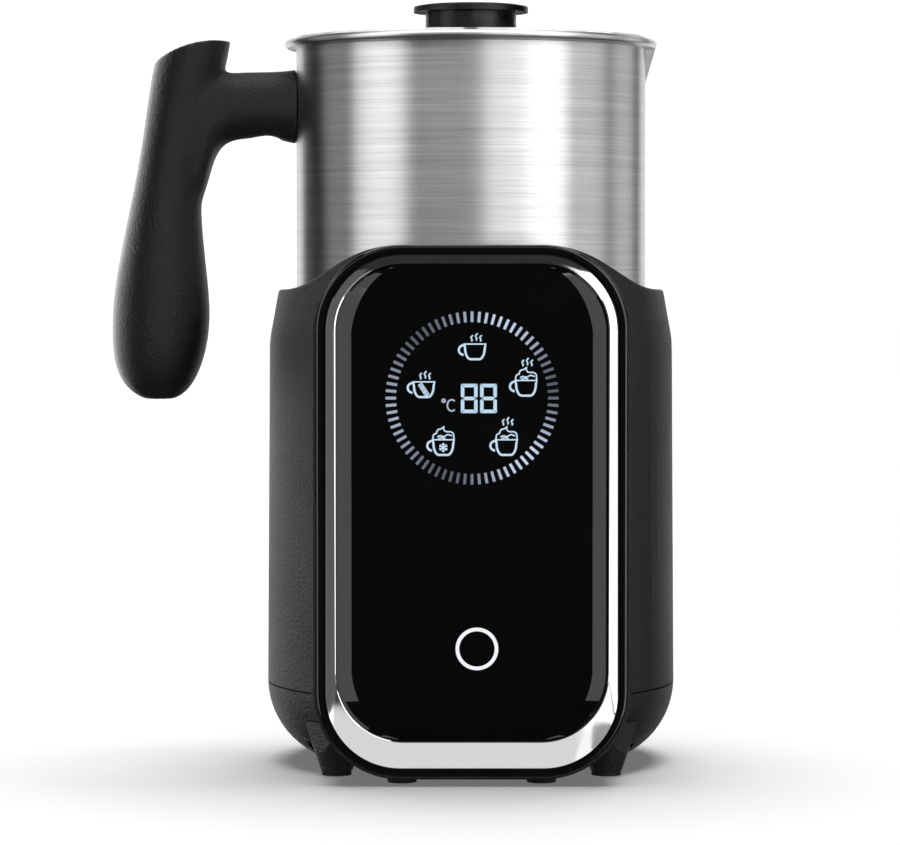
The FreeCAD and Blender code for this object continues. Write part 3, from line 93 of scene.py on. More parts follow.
def ramp(tree, source, low, high, start=0.3, end=0.7):
    """Maps a factor to a grey or a colour between two stops."""
    made = add(tree, "ValToRGB")
    stops = made.color_ramp.elements
    stops[0].position, stops[1].position = start, end
    for stop, value in zip(stops, (low, high)):
        grey = isinstance(value, (int, float))
        stop.color = (value, value, value, 1) if grey else (*value, 1)
    tree.links.new(source, made.inputs["Fac"])
    return made.outputs["Color"]


def bump(tree, shader, height, strength, distance):
    """Relief in the shader's normal; distance is how deep it reads, in metres."""
    made = add(tree, "Bump")
    made.inputs["Strength"].default_value = strength
    made.inputs["Distance"].default_value = distance
    tree.links.new(height, made.inputs["Height"])
    tree.links.new(made.outputs["Normal"], shader.inputs["Normal"])


def grained_plastic(name, color, roughness, grain, depth, spread=0.35):
    """Moulded plastic with a spark-eroded grain: fine pits, and a little colour variation."""
    made = material(name, color, roughness)
    tree, shader = tree_of(made)
    sway = 0.05
    fine = noise(tree, 1.0 / grain, detail=5.0, roughness=0.6)
    broad = noise(tree, 22.0, detail=2.0)
    darker = tuple(c * (1 - spread) for c in color)
    lighter = tuple(c * (1 + spread) for c in color)
    tree.links.new(ramp(tree, fine, darker, lighter), shader.inputs["Base Color"])
    tree.links.new(ramp(tree, broad, roughness - sway, roughness + sway),
                   shader.inputs["Roughness"])
    bump(tree, shader, fine, strength=0.55, distance=depth)
    return made


def polished_plastic(name, color, roughness, coat=1.0):
    """Piano-black plastic: faint orange peel and hairline wear in the gloss."""
    made = material(name, color, roughness, Coat_Weight=coat, Coat_Roughness=0.03)
    tree, shader = tree_of(made)
    peel = noise(tree, 420.0, detail=1.0)
    wear = noise(tree, 90.0, (1, 1, 6), detail=6.0)
    tree.links.new(ramp(tree, wear, roughness * 0.7, roughness * 1.6),
                   shader.inputs["Roughness"])
    bump(tree, shader, peel, strength=0.12, distance=0.00002)
    return made


def brushed_metal(name, color, roughness, along, across, turned=True):
    """Brushed metal. The brushing runs round Z; along and across are repeats per metre."""
    made = material(name, color, roughness, metallic=1.0, Anisotropic=0.7,
                    Anisotropic_Rotation=0.25)
    tree, shader = tree_of(made)
    sway = 0.04
    if turned:
        tangent = add(tree, "Tangent")
        tangent.direction_type = "RADIAL"
        tangent.axis = "Z"
        tree.links.new(tangent.outputs["Tangent"], shader.inputs["Tangent"])
    fine = noise(tree, 1.0, (along, along, across), detail=3.0, roughness=0.7)
    coarse = noise(tree, 1.0, (along * 0.5, along * 0.5, across * 0.22), detail=3.0)
    tone = add(tree, "MixRGB")
    tone.inputs["Fac"].default_value = 0.4
    tree.links.new(fine, tone.inputs["Color1"])
    tree.links.new(coarse, tone.inputs["Color2"])
    darker = tuple(c * 0.78 for c in color)
    lighter = tuple(min(c * 1.12, 1.0) for c in color)
    tree.links.new(ramp(tree, tone.outputs["Color"], darker, lighter, start=0.35, end=0.65),
                   shader.inputs["Base Color"])
    tree.links.new(ramp(tree, fine, roughness - sway, roughness + sway),
                   shader.inputs["Roughness"])
    bump(tree, shader, tone.outputs["Color"], strength=0.12, distance=0.00001)
    return made


def plated_metal(name, color, roughness):
    """Smooth plating with a faint haze."""
    made = material(name, color, roughness, metallic=1.0)
    tree, shader = tree_of(made)
    haze = noise(tree, 160.0, detail=5.0)
    tree.links.new(ramp(tree, haze, roughness * 0.7, roughness * 1.5),
                   shader.inputs["Roughness"])
    bump(tree, shader, noise(tree, 350.0, detail=2.0), strength=0.06, distance=0.00001)
    return made


def panel_glass(name):
    """Black-backed glass: nearly clean, with very faint smears in its gloss."""
    made = material(name, (0.0025, 0.0025, 0.003), 0.03, Coat_Weight=0.4,
                    Coat_Roughness=0.02)
    tree, shader = tree_of(made)
    smear = noise(tree, 28.0, (1, 1, 2.5), detail=6.0, roughness=0.6)
    tree.links.new(ramp(tree, smear, 0.018, 0.05), shader.inputs["Roughness"])
    tint = ramp(tree, smear, (0.0018, 0.0018, 0.002), (0.0032, 0.0032, 0.0036))
    tree.links.new(tint, shader.inputs["Base Color"])
    return made


def rubber(name, color):
    """Matt rubber or silicone with a fine grain."""
    made = material(name, color, 0.75)
    tree, shader = tree_of(made)
    grain = noise(tree, 2600.0, detail=4.0)
    tree.links.new(ramp(tree, grain, tuple(c * 0.7 for c in color),
                        tuple(c * 1.5 for c in color)), shader.inputs["Base Color"])
    bump(tree, shader, grain, strength=0.4, distance=0.00006)
    return made


def clear_plastic(name, color, roughness):
    """See-through plastic with a faint haze."""
    made = material(name, color, roughness, Transmission_Weight=1.0, IOR=1.49)
    tree, shader = tree_of(made)
    haze = noise(tree, 60.0, detail=5.0)
    tree.links.new(ramp(tree, haze, roughness * 0.6, roughness * 1.8),
                   shader.inputs["Roughness"])
    return made


def wound(name, color, reach):
    """Enamelled wire lying in turns about Z, 2 pi times the given reach apart."""
    made = material(name, color, 0.35, metallic=0.6)
    own_factor = 20    # the texture takes the sine of this times its scaled distance
    tree, shader = tree_of(made)
    place = add(tree, "TexCoord")
    wave = add(tree, "TexWave")
    wave.wave_type = "RINGS"
    wave.rings_direction = "Z"
    wave.inputs["Scale"].default_value = 1.0 / (reach * own_factor)
    wave.inputs["Distortion"].default_value = 0.3
    tree.links.new(place.outputs["Object"], wave.inputs["Vector"])
    # painted shade: the darker stop darkens the grooves between the turns, and the bump gives
    # the turns their relief
    tree.links.new(ramp(tree, wave.outputs["Fac"], tuple(c * 0.4 for c in color), color,
                        start=0.1, end=0.8), shader.inputs["Base Color"])
    bump(tree, shader, wave.outputs["Fac"], strength=0.7, distance=0.0004)
    return made


def circuit_board(name):
    """Green solder mask with its tracks showing as lighter lines."""
    made = material(name, (0.01, 0.12, 0.05), 0.35)
    tree, shader = tree_of(made)
    place = add(tree, "TexCoord")
    brick = add(tree, "TexBrick")
    brick.inputs["Scale"].default_value = 160.0
    brick.inputs["Mortar Size"].default_value = 0.035
    brick.inputs["Color1"].default_value = (0.008, 0.10, 0.04, 1)
    brick.inputs["Color2"].default_value = (0.012, 0.14, 0.055, 1)
    brick.inputs["Mortar"].default_value = (0.05, 0.26, 0.11, 1)
    tree.links.new(place.outputs["Object"], brick.inputs["Vector"])
    tree.links.new(brick.outputs["Color"], shader.inputs["Base Color"])
    bump(tree, shader, brick.outputs["Fac"], strength=0.3, distance=0.00005)
    return made


def glowing(name, color, strength, shaded=False):
    """A lit marking; shaded ones take their brightness from the mesh's glow attribute."""
    made = material(name, (0.02, 0.02, 0.025), 0.3, Emission_Strength=strength)
    tree, shader = tree_of(made)
    shade = noise(tree, 900.0, detail=2.0)
    lit = ramp(tree, shade, tuple(c * 0.93 for c in color), color)
    if shaded:
        attribute = add(tree, "Attribute")
        attribute.attribute_name = "glow"
        product = add(tree, "MixRGB")
        product.blend_type = "MULTIPLY"
        product.inputs["Fac"].default_value = 1.0
        tree.links.new(lit, product.inputs["Color1"])
        tree.links.new(attribute.outputs["Color"], product.inputs["Color2"])
        lit = product.outputs["Color"]
    tree.links.new(lit, shader.inputs["Emission Color"])
    return made


SLOT_MATERIALS = {
    "matte_body": grained_plastic(
        "matte_body", (0.016, 0.016, 0.017), 0.46, grain=0.0009, depth=0.0011),
    "handle_grip": grained_plastic(
        "handle_grip", (0.010, 0.010, 0.011), 0.38, grain=0.0008, depth=0.0007),
    "gloss_black": polished_plastic("gloss_black", (0.004, 0.004, 0.0045), 0.07),
    "bezel_chrome": plated_metal("bezel_chrome", (0.86, 0.87, 0.88), 0.07),
    "black_glass": panel_glass("black_glass"),
    "brushed_steel": brushed_metal(
        "brushed_steel", (0.72, 0.72, 0.715), 0.36, along=22.0, across=3000.0),
    "induction_steel": brushed_metal(
        "induction_steel", (0.42, 0.42, 0.41), 0.38, along=900.0, across=900.0),
    "clear_lid": clear_plastic("clear_lid", (0.93, 0.95, 0.96), 0.05),
    "silicone": rubber("silicone", (0.42, 0.43, 0.44)),
    "pad_rubber": rubber("pad_rubber", (0.018, 0.018, 0.018)),
    "knob_plastic": polished_plastic(
        "knob_plastic", (0.003, 0.003, 0.0034), 0.3, coat=0.0),
    "whisk_plastic": grained_plastic(
        "whisk_plastic", (0.02, 0.02, 0.02), 0.4, grain=0.0008, depth=0.00005),
    "well_plastic": grained_plastic(
        "well_plastic", (0.024, 0.024, 0.026), 0.36, grain=0.0008, depth=0.00006),
    "inner_plastic": grained_plastic(
        "inner_plastic", (0.6, 0.6, 0.57), 0.5, grain=0.001, depth=0.00005, spread=0.06),
    "mask_plastic": grained_plastic(
        "mask_plastic", (0.8, 0.8, 0.8), 0.5, grain=0.001, depth=0.00003, spread=0.05),
    "circuit_board": circuit_board("circuit_board"),
    "display_light": glowing("display_light", (0.55, 0.80, 1.0), 0.6),
    "copper_coil": wound("copper_coil", (0.62, 0.27, 0.12), reach=0.0011),
    "ferrite": grained_plastic(
        "ferrite", (0.035, 0.035, 0.04), 0.55, grain=0.0012, depth=0.0001),
    "magnet_plate": plated_metal("magnet_plate", (0.6, 0.6, 0.58), 0.22),
    "zinc_steel": plated_metal("zinc_steel", (0.58, 0.58, 0.56), 0.3),
    "heatsink_aluminium": brushed_metal(
        "heatsink_aluminium", (0.66, 0.66, 0.67), 0.36, along=60.0, across=1800.0,
        turned=False),
    "part_black": grained_plastic(
        "part_black", (0.025, 0.025, 0.026), 0.5, grain=0.0009, depth=0.00006),
}


def dress_nodes():
    """Gives every CAD node the material of its slot."""
    for entry in frame["record"]["subparts"]:
        made = SLOT_MATERIALS[entry["material_slot"]]
        node = nodes[entry["node"]]
        if not node.material_slots:
            node.data.materials.append(made)
        for slot in node.material_slots:
            slot.link = "OBJECT"
            slot.material = made


# ---------------------------------------------------------------- pieces


def linked(name, data):
    """A new object in the scene."""
    thing = bpy.data.objects.new(name, data)
    bpy.context.scene.collection.objects.link(thing)
    return thing


def mesh_of(name, bm):
    """The bmesh as a mesh; the bmesh itself is freed."""
    mesh = bpy.data.meshes.new(name)
    bm.to_mesh(mesh)
    bm.free()
    return mesh


def baked(draft):
    """The draft's mesh with its modifiers or bevel applied; the draft itself is removed."""
    depsgraph = bpy.context.evaluated_depsgraph_get()
    mesh = bpy.data.meshes.new_from_object(draft.evaluated_get(depsgraph))
    bpy.data.objects.remove(draft)
    return mesh


def piece(name, mesh, body, slot_name, made=None, replaced=()):
    """Makes a mesh object, gives it one material and hangs it on a CAD body."""
    mesh.materials.clear()
    mesh.materials.append(made or SLOT_MATERIALS[slot_name])
    thing = linked(name, mesh)
    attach(thing, body)
    if replaced:
        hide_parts(*replaced)


def smooth(mesh, angle):
    """Smooth shading, with edges sharper than the angle (in degrees) left crisp."""
    mesh.shade_smooth()
    mesh.set_sharp_from_angle(angle=math.radians(angle))


def make_handle():
    """The grip and its arm flow into each other, so the CAD solid is melted, and relaxed
    most where the two meet."""
    draft = linked("handle_draft", nodes["handle"].data.copy())
    melt = draft.modifiers.new("melt", "REMESH")
    melt.mode = "VOXEL"
    melt.voxel_size = 0.7 * MM
    mesh = baked(draft)
    draft = linked("handle_melted", mesh)
    junction = draft.vertex_groups.new(name="junction")
    _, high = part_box("handle")
    inward, below = 28.0 * MM, 33.0 * MM    # from the handle's right edge and top
    meeting = Vector((high.x - inward, 0, high.z - below))
    reach, core = 27.0 * MM, 13.0 * MM
    for vertex in mesh.vertices:
        away = Vector((vertex.co.x - meeting.x, 0, vertex.co.z - meeting.z)).length
        weight = min(max((reach - away) / (reach - core), 0.0), 1.0)
        junction.add([vertex.index], weight, "REPLACE")
    for name, rounds, group in (("flow", 130, "junction"), ("relax", 4, "")):
        step = draft.modifiers.new(name, "SMOOTH")
        step.factor = 0.5
        step.iterations = rounds
        step.vertex_group = group
    mesh = baked(draft)
    mesh.shade_smooth()
    piece("grip_handle", mesh, "jug", "handle_grip", replaced=["handle"])


def outline(low, high, corner_low, corner_high, steps=20):
    """A rounded outline in X and Z, run anticlockwise as seen from the front."""
    points = []
    for x, z, radius, start in (
            (high.x, low.z, corner_low, 270), (high.x, high.z, corner_high, 0),
            (low.x, high.z, corner_high, 90), (low.x, low.z, corner_low, 180)):
        inward_x = x - math.copysign(radius, x)
        inward_z = z + radius if z == low.z else z - radius
        for step in range(steps + 1):
            angle = math.radians(start + 90 * step / steps)
            points.append((inward_x + radius * math.cos(angle),
                           inward_z + radius * math.sin(angle)))
    return points


def ring_mesh(name, outer, inner, profile):
    """Skins a closed band between two outlines. Each profile entry is a share of the way
    inwards, a further step inwards, and a Y."""
    bm = bmesh.new()
    loops = []
    for share, step, y in profile:
        loop = []
        for a, b in zip(outer, inner):
            across = Vector((b[0] - a[0], b[1] - a[1]))
            spot = Vector(a) + across * share + across.normalized() * step
            loop.append(bm.verts.new((spot.x, y, spot.y)))
        loops.append(loop)
    count = len(outer)
    for first, second in zip(loops, loops[1:] + loops[:1]):
        for i in range(count):
            j = (i + 1) % count
            bm.faces.new((first[i], first[j], second[j], second[i]))
    bmesh.ops.recalc_face_normals(bm, faces=bm.faces)
    return mesh_of(name, bm)


def make_bezel():
    """The chrome ring: a fine bright chamfer, a gently crowned slope, and a lip inside."""
    low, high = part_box("chrome_bezel")
    glass_low, glass_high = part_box("glass_panel")
    back, front = high.y, low.y
    chamfer, lip, rise = 0.3 * MM, 0.35 * MM, 1.1 * MM
    lowering, lip_depth, crowning, gap = 0.6 * MM, 0.16 * MM, 0.05 * MM, 0.05 * MM
    foot_corner, top_corner, inner_corner = 21.5 * MM, 22.0 * MM, 19.15 * MM
    edge = front + rise
    lowered = Vector((low.x, low.y, low.z - lowering))
    outer = outline(lowered, high, foot_corner, top_corner)
    inner_low = Vector((glass_low.x - gap, 0, glass_low.z - gap))
    inner_high = Vector((glass_high.x + gap, 0, glass_high.z + gap))
    inner = outline(inner_low, inner_high, inner_corner, inner_corner)
    profile = [(0, 0, back), (0, 0, edge + chamfer), (0, chamfer, edge)]
    steps = 8
    for n in range(1, steps + 1):
        share = n / steps
        crown = crowning * 4 * share * (1 - share)
        profile.append((share, chamfer - (chamfer + lip) * share,
                        edge - rise * share - crown))
    profile += [(1, 0, front + lip_depth), (1, 0, back)]
    mesh = ring_mesh("bezel", outer, inner, profile)
    smooth(mesh, 9)
    piece("bezel", mesh, "base", "bezel_chrome", replaced=["chrome_bezel"])


def make_glass():
    """The panel: flat in front, its two long sides bent back to meet the bezel. Each bend
    narrows to a point in the corners, where the flat reaches the panel's edge."""
    low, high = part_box("glass_panel")
    bend, turn_in, slope = 4.2 * MM, 23.0 * MM, math.tan(math.radians(14.6))
    corner, narrowing, least_depth, same_spot = 19.1 * MM, 0.75, 0.3 * MM, 0.002 * MM
    half = (high.x - low.x) / 2
    middle = (high.x + low.x) / 2
    outer = outline(low, high, corner, corner)
    bm = bmesh.new()
    rim, edge, back = [], [], []
    for x, z in outer:
        past = max(z - (high.z - turn_in), (low.z + turn_in) - z, 0.0)
        drawn_in = (turn_in - math.sqrt(turn_in ** 2 - past ** 2)) * narrowing
        flat_half = half - bend - drawn_in
        depth = abs(x - middle) - flat_half
        if depth < least_depth:
            depth = 0.0
        flat_x = x - math.copysign(depth, x - middle)
        rim.append(bm.verts.new((flat_x, low.y, z)))
        edge.append(bm.verts.new((x, low.y + depth * slope, z)))
        back.append(bm.verts.new((x, high.y, z)))
    bm.faces.new(rim)
    bm.faces.new(back[::-1])
    count = len(outer)
    for near, far in ((rim, edge), (edge, back)):
        for i in range(count):
            j = (i + 1) % count
            bm.faces.new((near[i], far[i], far[j], near[j]))
    bmesh.ops.remove_doubles(bm, verts=bm.verts, dist=same_spot)
    bmesh.ops.recalc_face_normals(bm, faces=bm.faces)
    mesh = mesh_of("glass", bm)
    smooth(mesh, 8)
    piece("glass", mesh, "base", "black_glass", replaced=["glass_panel"])


def make_whisk_coil():
    """The whisk's ring: fine wire wound round a circle, just touching its neighbour turns."""
    low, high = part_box("whisk_coil")
    wire, turns, steps = 0.45 * MM, 58, 12
    middle, half = (low + high) / 2, (high.z - low.z) / 2
    ring = (high.x - low.x) / 2 - half
    tube = half - wire
    curve = bpy.data.curves.new("whisk_spring", "CURVE")
    curve.dimensions = "3D"
    curve.bevel_depth = wire
    curve.bevel_resolution = 2
    spline = curve.splines.new("POLY")
    spline.points.add(turns * steps - 1)
    for n, point in enumerate(spline.points):
        round_ring = 2 * math.pi * n / (turns * steps)
        round_tube = 2 * math.pi * n / steps
        out = ring + tube * math.cos(round_tube)
        point.co = (middle.x + out * math.cos(round_ring),
                    middle.y + out * math.sin(round_ring),
                    middle.z + tube * math.sin(round_tube), 1)
    spline.use_cyclic_u = True
    mesh = baked(linked("whisk_spring_draft", curve))
    mesh.shade_smooth()
    piece("whisk_spring", mesh, "whisk", "zinc_steel", replaced=["whisk_coil"])


# ---------------------------------------------------------------- display


GLASS_LOW, GLASS_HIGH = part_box("glass_panel")
GLASS_FACE = GLASS_LOW.y
DIAL_BELOW_TOP, TOUCH_ASIDE, TOUCH_ABOVE_FOOT = 38.0 * MM, 1.4 * MM, 26.3 * MM
DIAL = Vector((0.0, GLASS_FACE, GLASS_HIGH.z - DIAL_BELOW_TOP))
TOUCH = Vector((TOUCH_ASIDE, GLASS_FACE, GLASS_LOW.z + TOUCH_ABOVE_FOOT))
PRINT = 0.05 * MM        # how far markings stand out of the glass, and reach into it


def plate_of(shapes, centre, name, made, shades=None):
    """Flat markings standing a hair above the glass. Shapes are convex, in millimetres."""
    bm = bmesh.new()
    for shape in shapes:
        back = [bm.verts.new((centre.x + x * MM, centre.y + PRINT, centre.z + z * MM))
                for x, z in shape]
        front = [bm.verts.new((centre.x + x * MM, centre.y - PRINT, centre.z + z * MM))
                 for x, z in shape]
        count = len(shape)
        bm.faces.new(front)
        bm.faces.new(back[::-1])
        for i in range(count):
            j = (i + 1) % count
            bm.faces.new((front[j], front[i], back[i], back[j]))
    bmesh.ops.recalc_face_normals(bm, faces=bm.faces)
    mesh = mesh_of(name, bm)
    if shades:
        attribute = mesh.color_attributes.new("glow", "FLOAT_COLOR", "POINT")
        per_vertex = [shade for shape, shade in zip(shapes, shades)
                      for _ in range(len(shape) * 2)]
        for spot, shade in zip(attribute.data, per_vertex):
            spot.color = (shade, shade, shade, 1)
    piece(name, mesh, "base", "display_light", made)


def make_ticks():
    """The dial's ring of ticks, brightest in three places and dimmer on the left."""
    shapes, shades = [], []
    count, inner, outer, half = 72, 21.5, 24.5, 0.40
    lobes, first_lobe, sharpness = 3, math.radians(70), 1.2
    least, span, right_mean, right_gain = 0.12, 0.72, 0.82, 0.26
    for n in range(count):
        angle = 2 * math.pi * n / count
        out = (math.cos(angle), math.sin(angle))
        side = (-out[1] * half, out[0] * half)
        corners = [(inner, -1), (outer, -1), (outer, 1), (inner, 1)]
        shapes.append([(out[0] * r + side[0] * s, out[1] * r + side[1] * s)
                       for r, s in corners])
        lobe = 0.5 + 0.5 * math.cos(lobes * (angle - first_lobe))
        sideways = right_mean + right_gain * math.cos(angle)
        shades.append(least + span * lobe ** sharpness * sideways)
    light = glowing("tick_light", (0.68, 0.80, 1.0), 1.0, shaded=True)
    plate_of(shapes, DIAL, "dial_ticks", light, shades)


def arc(cx, cz, rx, rz, start, end, steps=14):
    """Points along part of an ellipse; start and end are in degrees."""
    return [(cx + rx * math.cos(math.radians(start + (end - start) * i / steps)),
             cz + rz * math.sin(math.radians(start + (end - start) * i / steps)))
            for i in range(steps + 1)]


def line_art(name, strokes, centre, width, made):
    """Round-ended strokes; each is a list of points and whether it closes, in millimetres."""
    curve = bpy.data.curves.new(name, "CURVE")
    curve.dimensions = "3D"
    curve.bevel_depth = width / 2 * MM
    curve.bevel_resolution = 2
    curve.use_fill_caps = True
    for points, closed in strokes:
        spline = curve.splines.new("POLY")
        spline.points.add(len(points) - 1)
        for point, (x, z) in zip(spline.points, points):
            point.co = (x * MM, 0, z * MM, 1)
        spline.use_cyclic_u = closed
    mesh = baked(linked(name + "_draft", curve))
    flat = PRINT / (width / 2 * MM)
    mesh.transform(Matrix.Translation(centre) @ Matrix.Diagonal((1, flat, 1, 1)))
    piece(name, mesh, "base", "display_light", made)


def steam(x, z):
    """Three wisps over a cup, the middle one the tallest."""
    sway, phase, lean, steps = 0.28, 0.15, 0.05, 10
    wisps = []
    for shift, lift, tall in ((-1.15, 0.0, 1.7), (0.15, 0.25, 2.0), (1.35, 0.0, 1.7)):
        wave = [sway * math.sin(math.pi * (2 * i / steps + phase)) for i in range(steps + 1)]
        wisps.append(([(x + shift + bent + lean * i, z + lift + tall * i / steps)
                       for i, bent in enumerate(wave)], False))
    return wisps


def cup(x, z):
    """A cup with its ear on the left; z is the rim."""
    half, bowl_depth, wall, taper, round_in, steps = 3.05, 4.3, 1.0, 0.25, 1.6, 8
    bowl = [(x - half, z)] + [
        (x - half + taper + round_in * (1 - math.cos(t)),
         z - wall - (bowl_depth - wall) * math.sin(t))
        for t in [math.pi / 2 * i / steps for i in range(steps + 1)]]
    mirrored = [(2 * x - px, pz) for px, pz in bowl[::-1]]
    ear = arc(x - 3.0, z - 1.7, 1.55, 1.4, 60, 262)
    ear = [(px, pz) for px, pz in ear if px < x - 2.3]
    return [(bowl + mirrored, True), (ear, False)]


def cream(x, z):
    """A swirl of cream heaped on the rim."""
    heap = [(x - 3.0, z + 0.1)] + arc(x - 1.9, z + 0.9, 1.0, 0.9, 190, 95, 6)
    heap += arc(x - 0.9, z + 1.9, 1.0, 1.2, 190, 110, 6)
    heap += [(x - 0.75, z + 3.0), (x - 0.1, z + 3.5), (x + 0.25, z + 3.75)]
    heap += [(x + 0.05, z + 3.0), (x + 0.5, z + 2.4)]
    heap += arc(x + 1.7, z + 1.3, 1.25, 1.0, 110, 0, 8)
    heap += [(x + 3.0, z + 0.1)]
    fold = [(x - 1.7, z + 0.8), (x - 0.9, z + 1.15), (x + 0.2, z + 0.9), (x + 1.3, z + 1.5),
            (x + 2.5, z + 1.1)]
    lower = [(x - 1.4, z + 0.35), (x - 0.5, z + 0.6), (x + 0.6, z + 0.4)]
    return [(heap, False), (fold, False), (lower, False)]


def flake(x, z):
    """A six-armed snowflake with two barbs on each arm."""
    radius, barb_root, barb_turn, barb_length = 1.25, 0.62, 0.8, 0.36
    strokes = []
    for n in range(3):
        a = math.pi * n / 3 + math.pi / 2
        tip = (radius * math.cos(a), radius * math.sin(a))
        strokes.append(([(x - tip[0], z - tip[1]), (x + tip[0], z + tip[1])], False))
    for n in range(6):
        a = math.pi * n / 3 + math.pi / 2
        root = (x + barb_root * radius * math.cos(a), z + barb_root * radius * math.sin(a))
        for side in (-1, 1):
            b = a + side * barb_turn
            strokes.append(([root, (root[0] + barb_length * radius * math.cos(b),
                                    root[1] + barb_length * radius * math.sin(b))], False))
    return strokes


def chocolate_bar(x, z):
    """A leaning bar with one line along it and two across."""
    corners = [(-1.5, 1.35), (-0.6, 1.9), (1.45, -1.15), (0.55, -1.75)]
    edge = [(x + px, z + pz) for px, pz in corners]
    along = [[(x - 1.05, z + 1.6), (x + 1.0, z - 1.45)]]
    across = [[(x - 1.5 + 0.68 * i, z + 1.35 - 1.03 * i),
               (x - 0.6 + 0.68 * i, z + 1.9 - 1.02 * i)] for i in (1, 2)]
    return [(edge, True)] + [(line, False) for line in along + across]


def make_icons():
    """Five drinks round the dial, each with its ear on the left."""
    light = glowing("icon_light", (0.56, 0.73, 0.88), 1.0)
    ring, apart, aside, raised = 15.2, 72, 0.8, 0.1
    bold_width, thin_width = 0.62, 0.40
    cream_lift, steam_over_cream, steam_over_rim = 0.4, 4.1, 0.75
    flake_down, bar_down = 2.2, 2.3
    bold, thin = [], []
    for n, (steamed, creamed, inside, low) in enumerate([
            (True, False, None, 0.0), (True, True, None, -0.2), (True, True, None, 0.0),
            (False, True, "flake", 0.0), (True, False, "bar", -0.2)]):
        angle = math.radians(90 - apart * n)
        x, z = ring * math.cos(angle) + aside, ring * math.sin(angle) + raised + low
        if creamed:
            z += cream_lift
        bold += cup(x, z)
        if creamed:
            thin += cream(x, z)
        if steamed:
            thin += steam(x, z + (steam_over_cream if creamed else steam_over_rim))
        if inside == "flake":
            thin += flake(x, z - flake_down)
        if inside == "bar":
            thin += chocolate_bar(x, z - bar_down)
    line_art("icon_cups", bold, DIAL, bold_width, light)
    line_art("icon_details", thin, DIAL, thin_width, light)


def make_digits():
    """Two seven-segment figures with every segment lit, and the degree sign beside them."""
    width, height, bar, gap = 4.75, 8.3, 1.0, 0.12
    centres, lowered = (-0.8, 4.65), Vector((0, 0, -0.1 * MM))
    tip, low_gap, shoulder, notch, heel = bar * 0.55, 1.6, 0.5, 0.45, 0.3
    shapes = []
    for centre_x in centres:
        left, right = centre_x - width / 2, centre_x + width / 2
        for level in (-height / 2, 0.0, height / 2):
            if level:
                edge, inside = level, level - math.copysign(bar, level)
                shapes.append([(left + gap, edge), (right - gap, edge),
                               (right - bar - gap, inside), (left + bar + gap, inside)])
            else:
                shapes.append([(left + tip, 0), (left + bar + gap, bar / 2),
                               (right - bar - gap, bar / 2), (right - tip, 0),
                               (right - bar - gap, -bar / 2), (left + bar + gap, -bar / 2)])
        for side, x in ((1, left), (-1, right)):
            for sign in (1, -1):
                top, low = sign * (height / 2 - gap), sign * gap * low_gap
                shapes.append([(x, top), (x + side * bar, top - sign * (bar - gap)),
                               (x + side * bar, low + sign * bar * shoulder),
                               (x + side * bar * notch, low), (x, low + sign * heel)])
    light = glowing("digit_light", (0.52, 0.71, 0.87), 1.0)
    plate_of(shapes, DIAL + lowered, "dial_digits", light)
    letter = [(arc(-5.75, -2.05, 1.25, 1.6, 48, 312, 18), False),
              (arc(-8.05, -0.75, 0.42, 0.42, 0, 360, 14)[:-1], True)]
    line_width = 0.45
    dim = glowing("degree_light", (0.42, 0.49, 0.61), 1.0)
    line_art("dial_degree", letter, DIAL, line_width, dim)


def make_key_marks():
    """The ring that marks the touch key."""
    radius, line_width, steps = 5.55, 1.05, 64
    white = glowing("key_light", (0.94, 0.97, 1.0), 0.95)
    ring = [(arc(0, 0, radius, radius, 0, 360, steps)[:-1], True)]
    line_art("touch_ring", ring, TOUCH, line_width, white)


# ---------------------------------------------------------------- stage


MIDDLE = Vector((0, 0, 120 * MM))
PANEL_DISTANCE = 1.1


def soft_box(name, azimuth, elevation, width, height, brightness):
    """A lit panel round the object. Azimuth 0 is in front, 90 at the right; sizes are in
    degrees as seen from the object, and a brightness of 1 mirrors as white."""
    turn, rise = math.radians(azimuth), math.radians(elevation)
    out = Vector((math.sin(turn) * math.cos(rise), -math.cos(turn) * math.cos(rise),
                  math.sin(rise)))
    data = bpy.data.lights.new(name, "AREA")
    data.shape = "RECTANGLE"
    data.size = 2 * PANEL_DISTANCE * math.tan(math.radians(width / 2))
    data.size_y = 2 * PANEL_DISTANCE * math.tan(math.radians(height / 2))
    data.energy = brightness * math.pi * data.size * data.size_y
    thing = linked(name, data)
    thing.location = MIDDLE + out * PANEL_DISTANCE
    thing.rotation_euler = (-out).to_track_quat("-Z", "Y").to_euler()
    thing.visible_camera = False
    thing.visible_diffuse = False
    return thing


def lit_pieces(name, things, state="INCLUDE"):
    """The pieces that a panel lights, or those that it leaves out."""
    made = bpy.data.collections.new(name)
    for thing in things:
        made.objects.link(thing)
    for entry in made.collection_objects:
        entry.light_linking.link_state = state
    return made


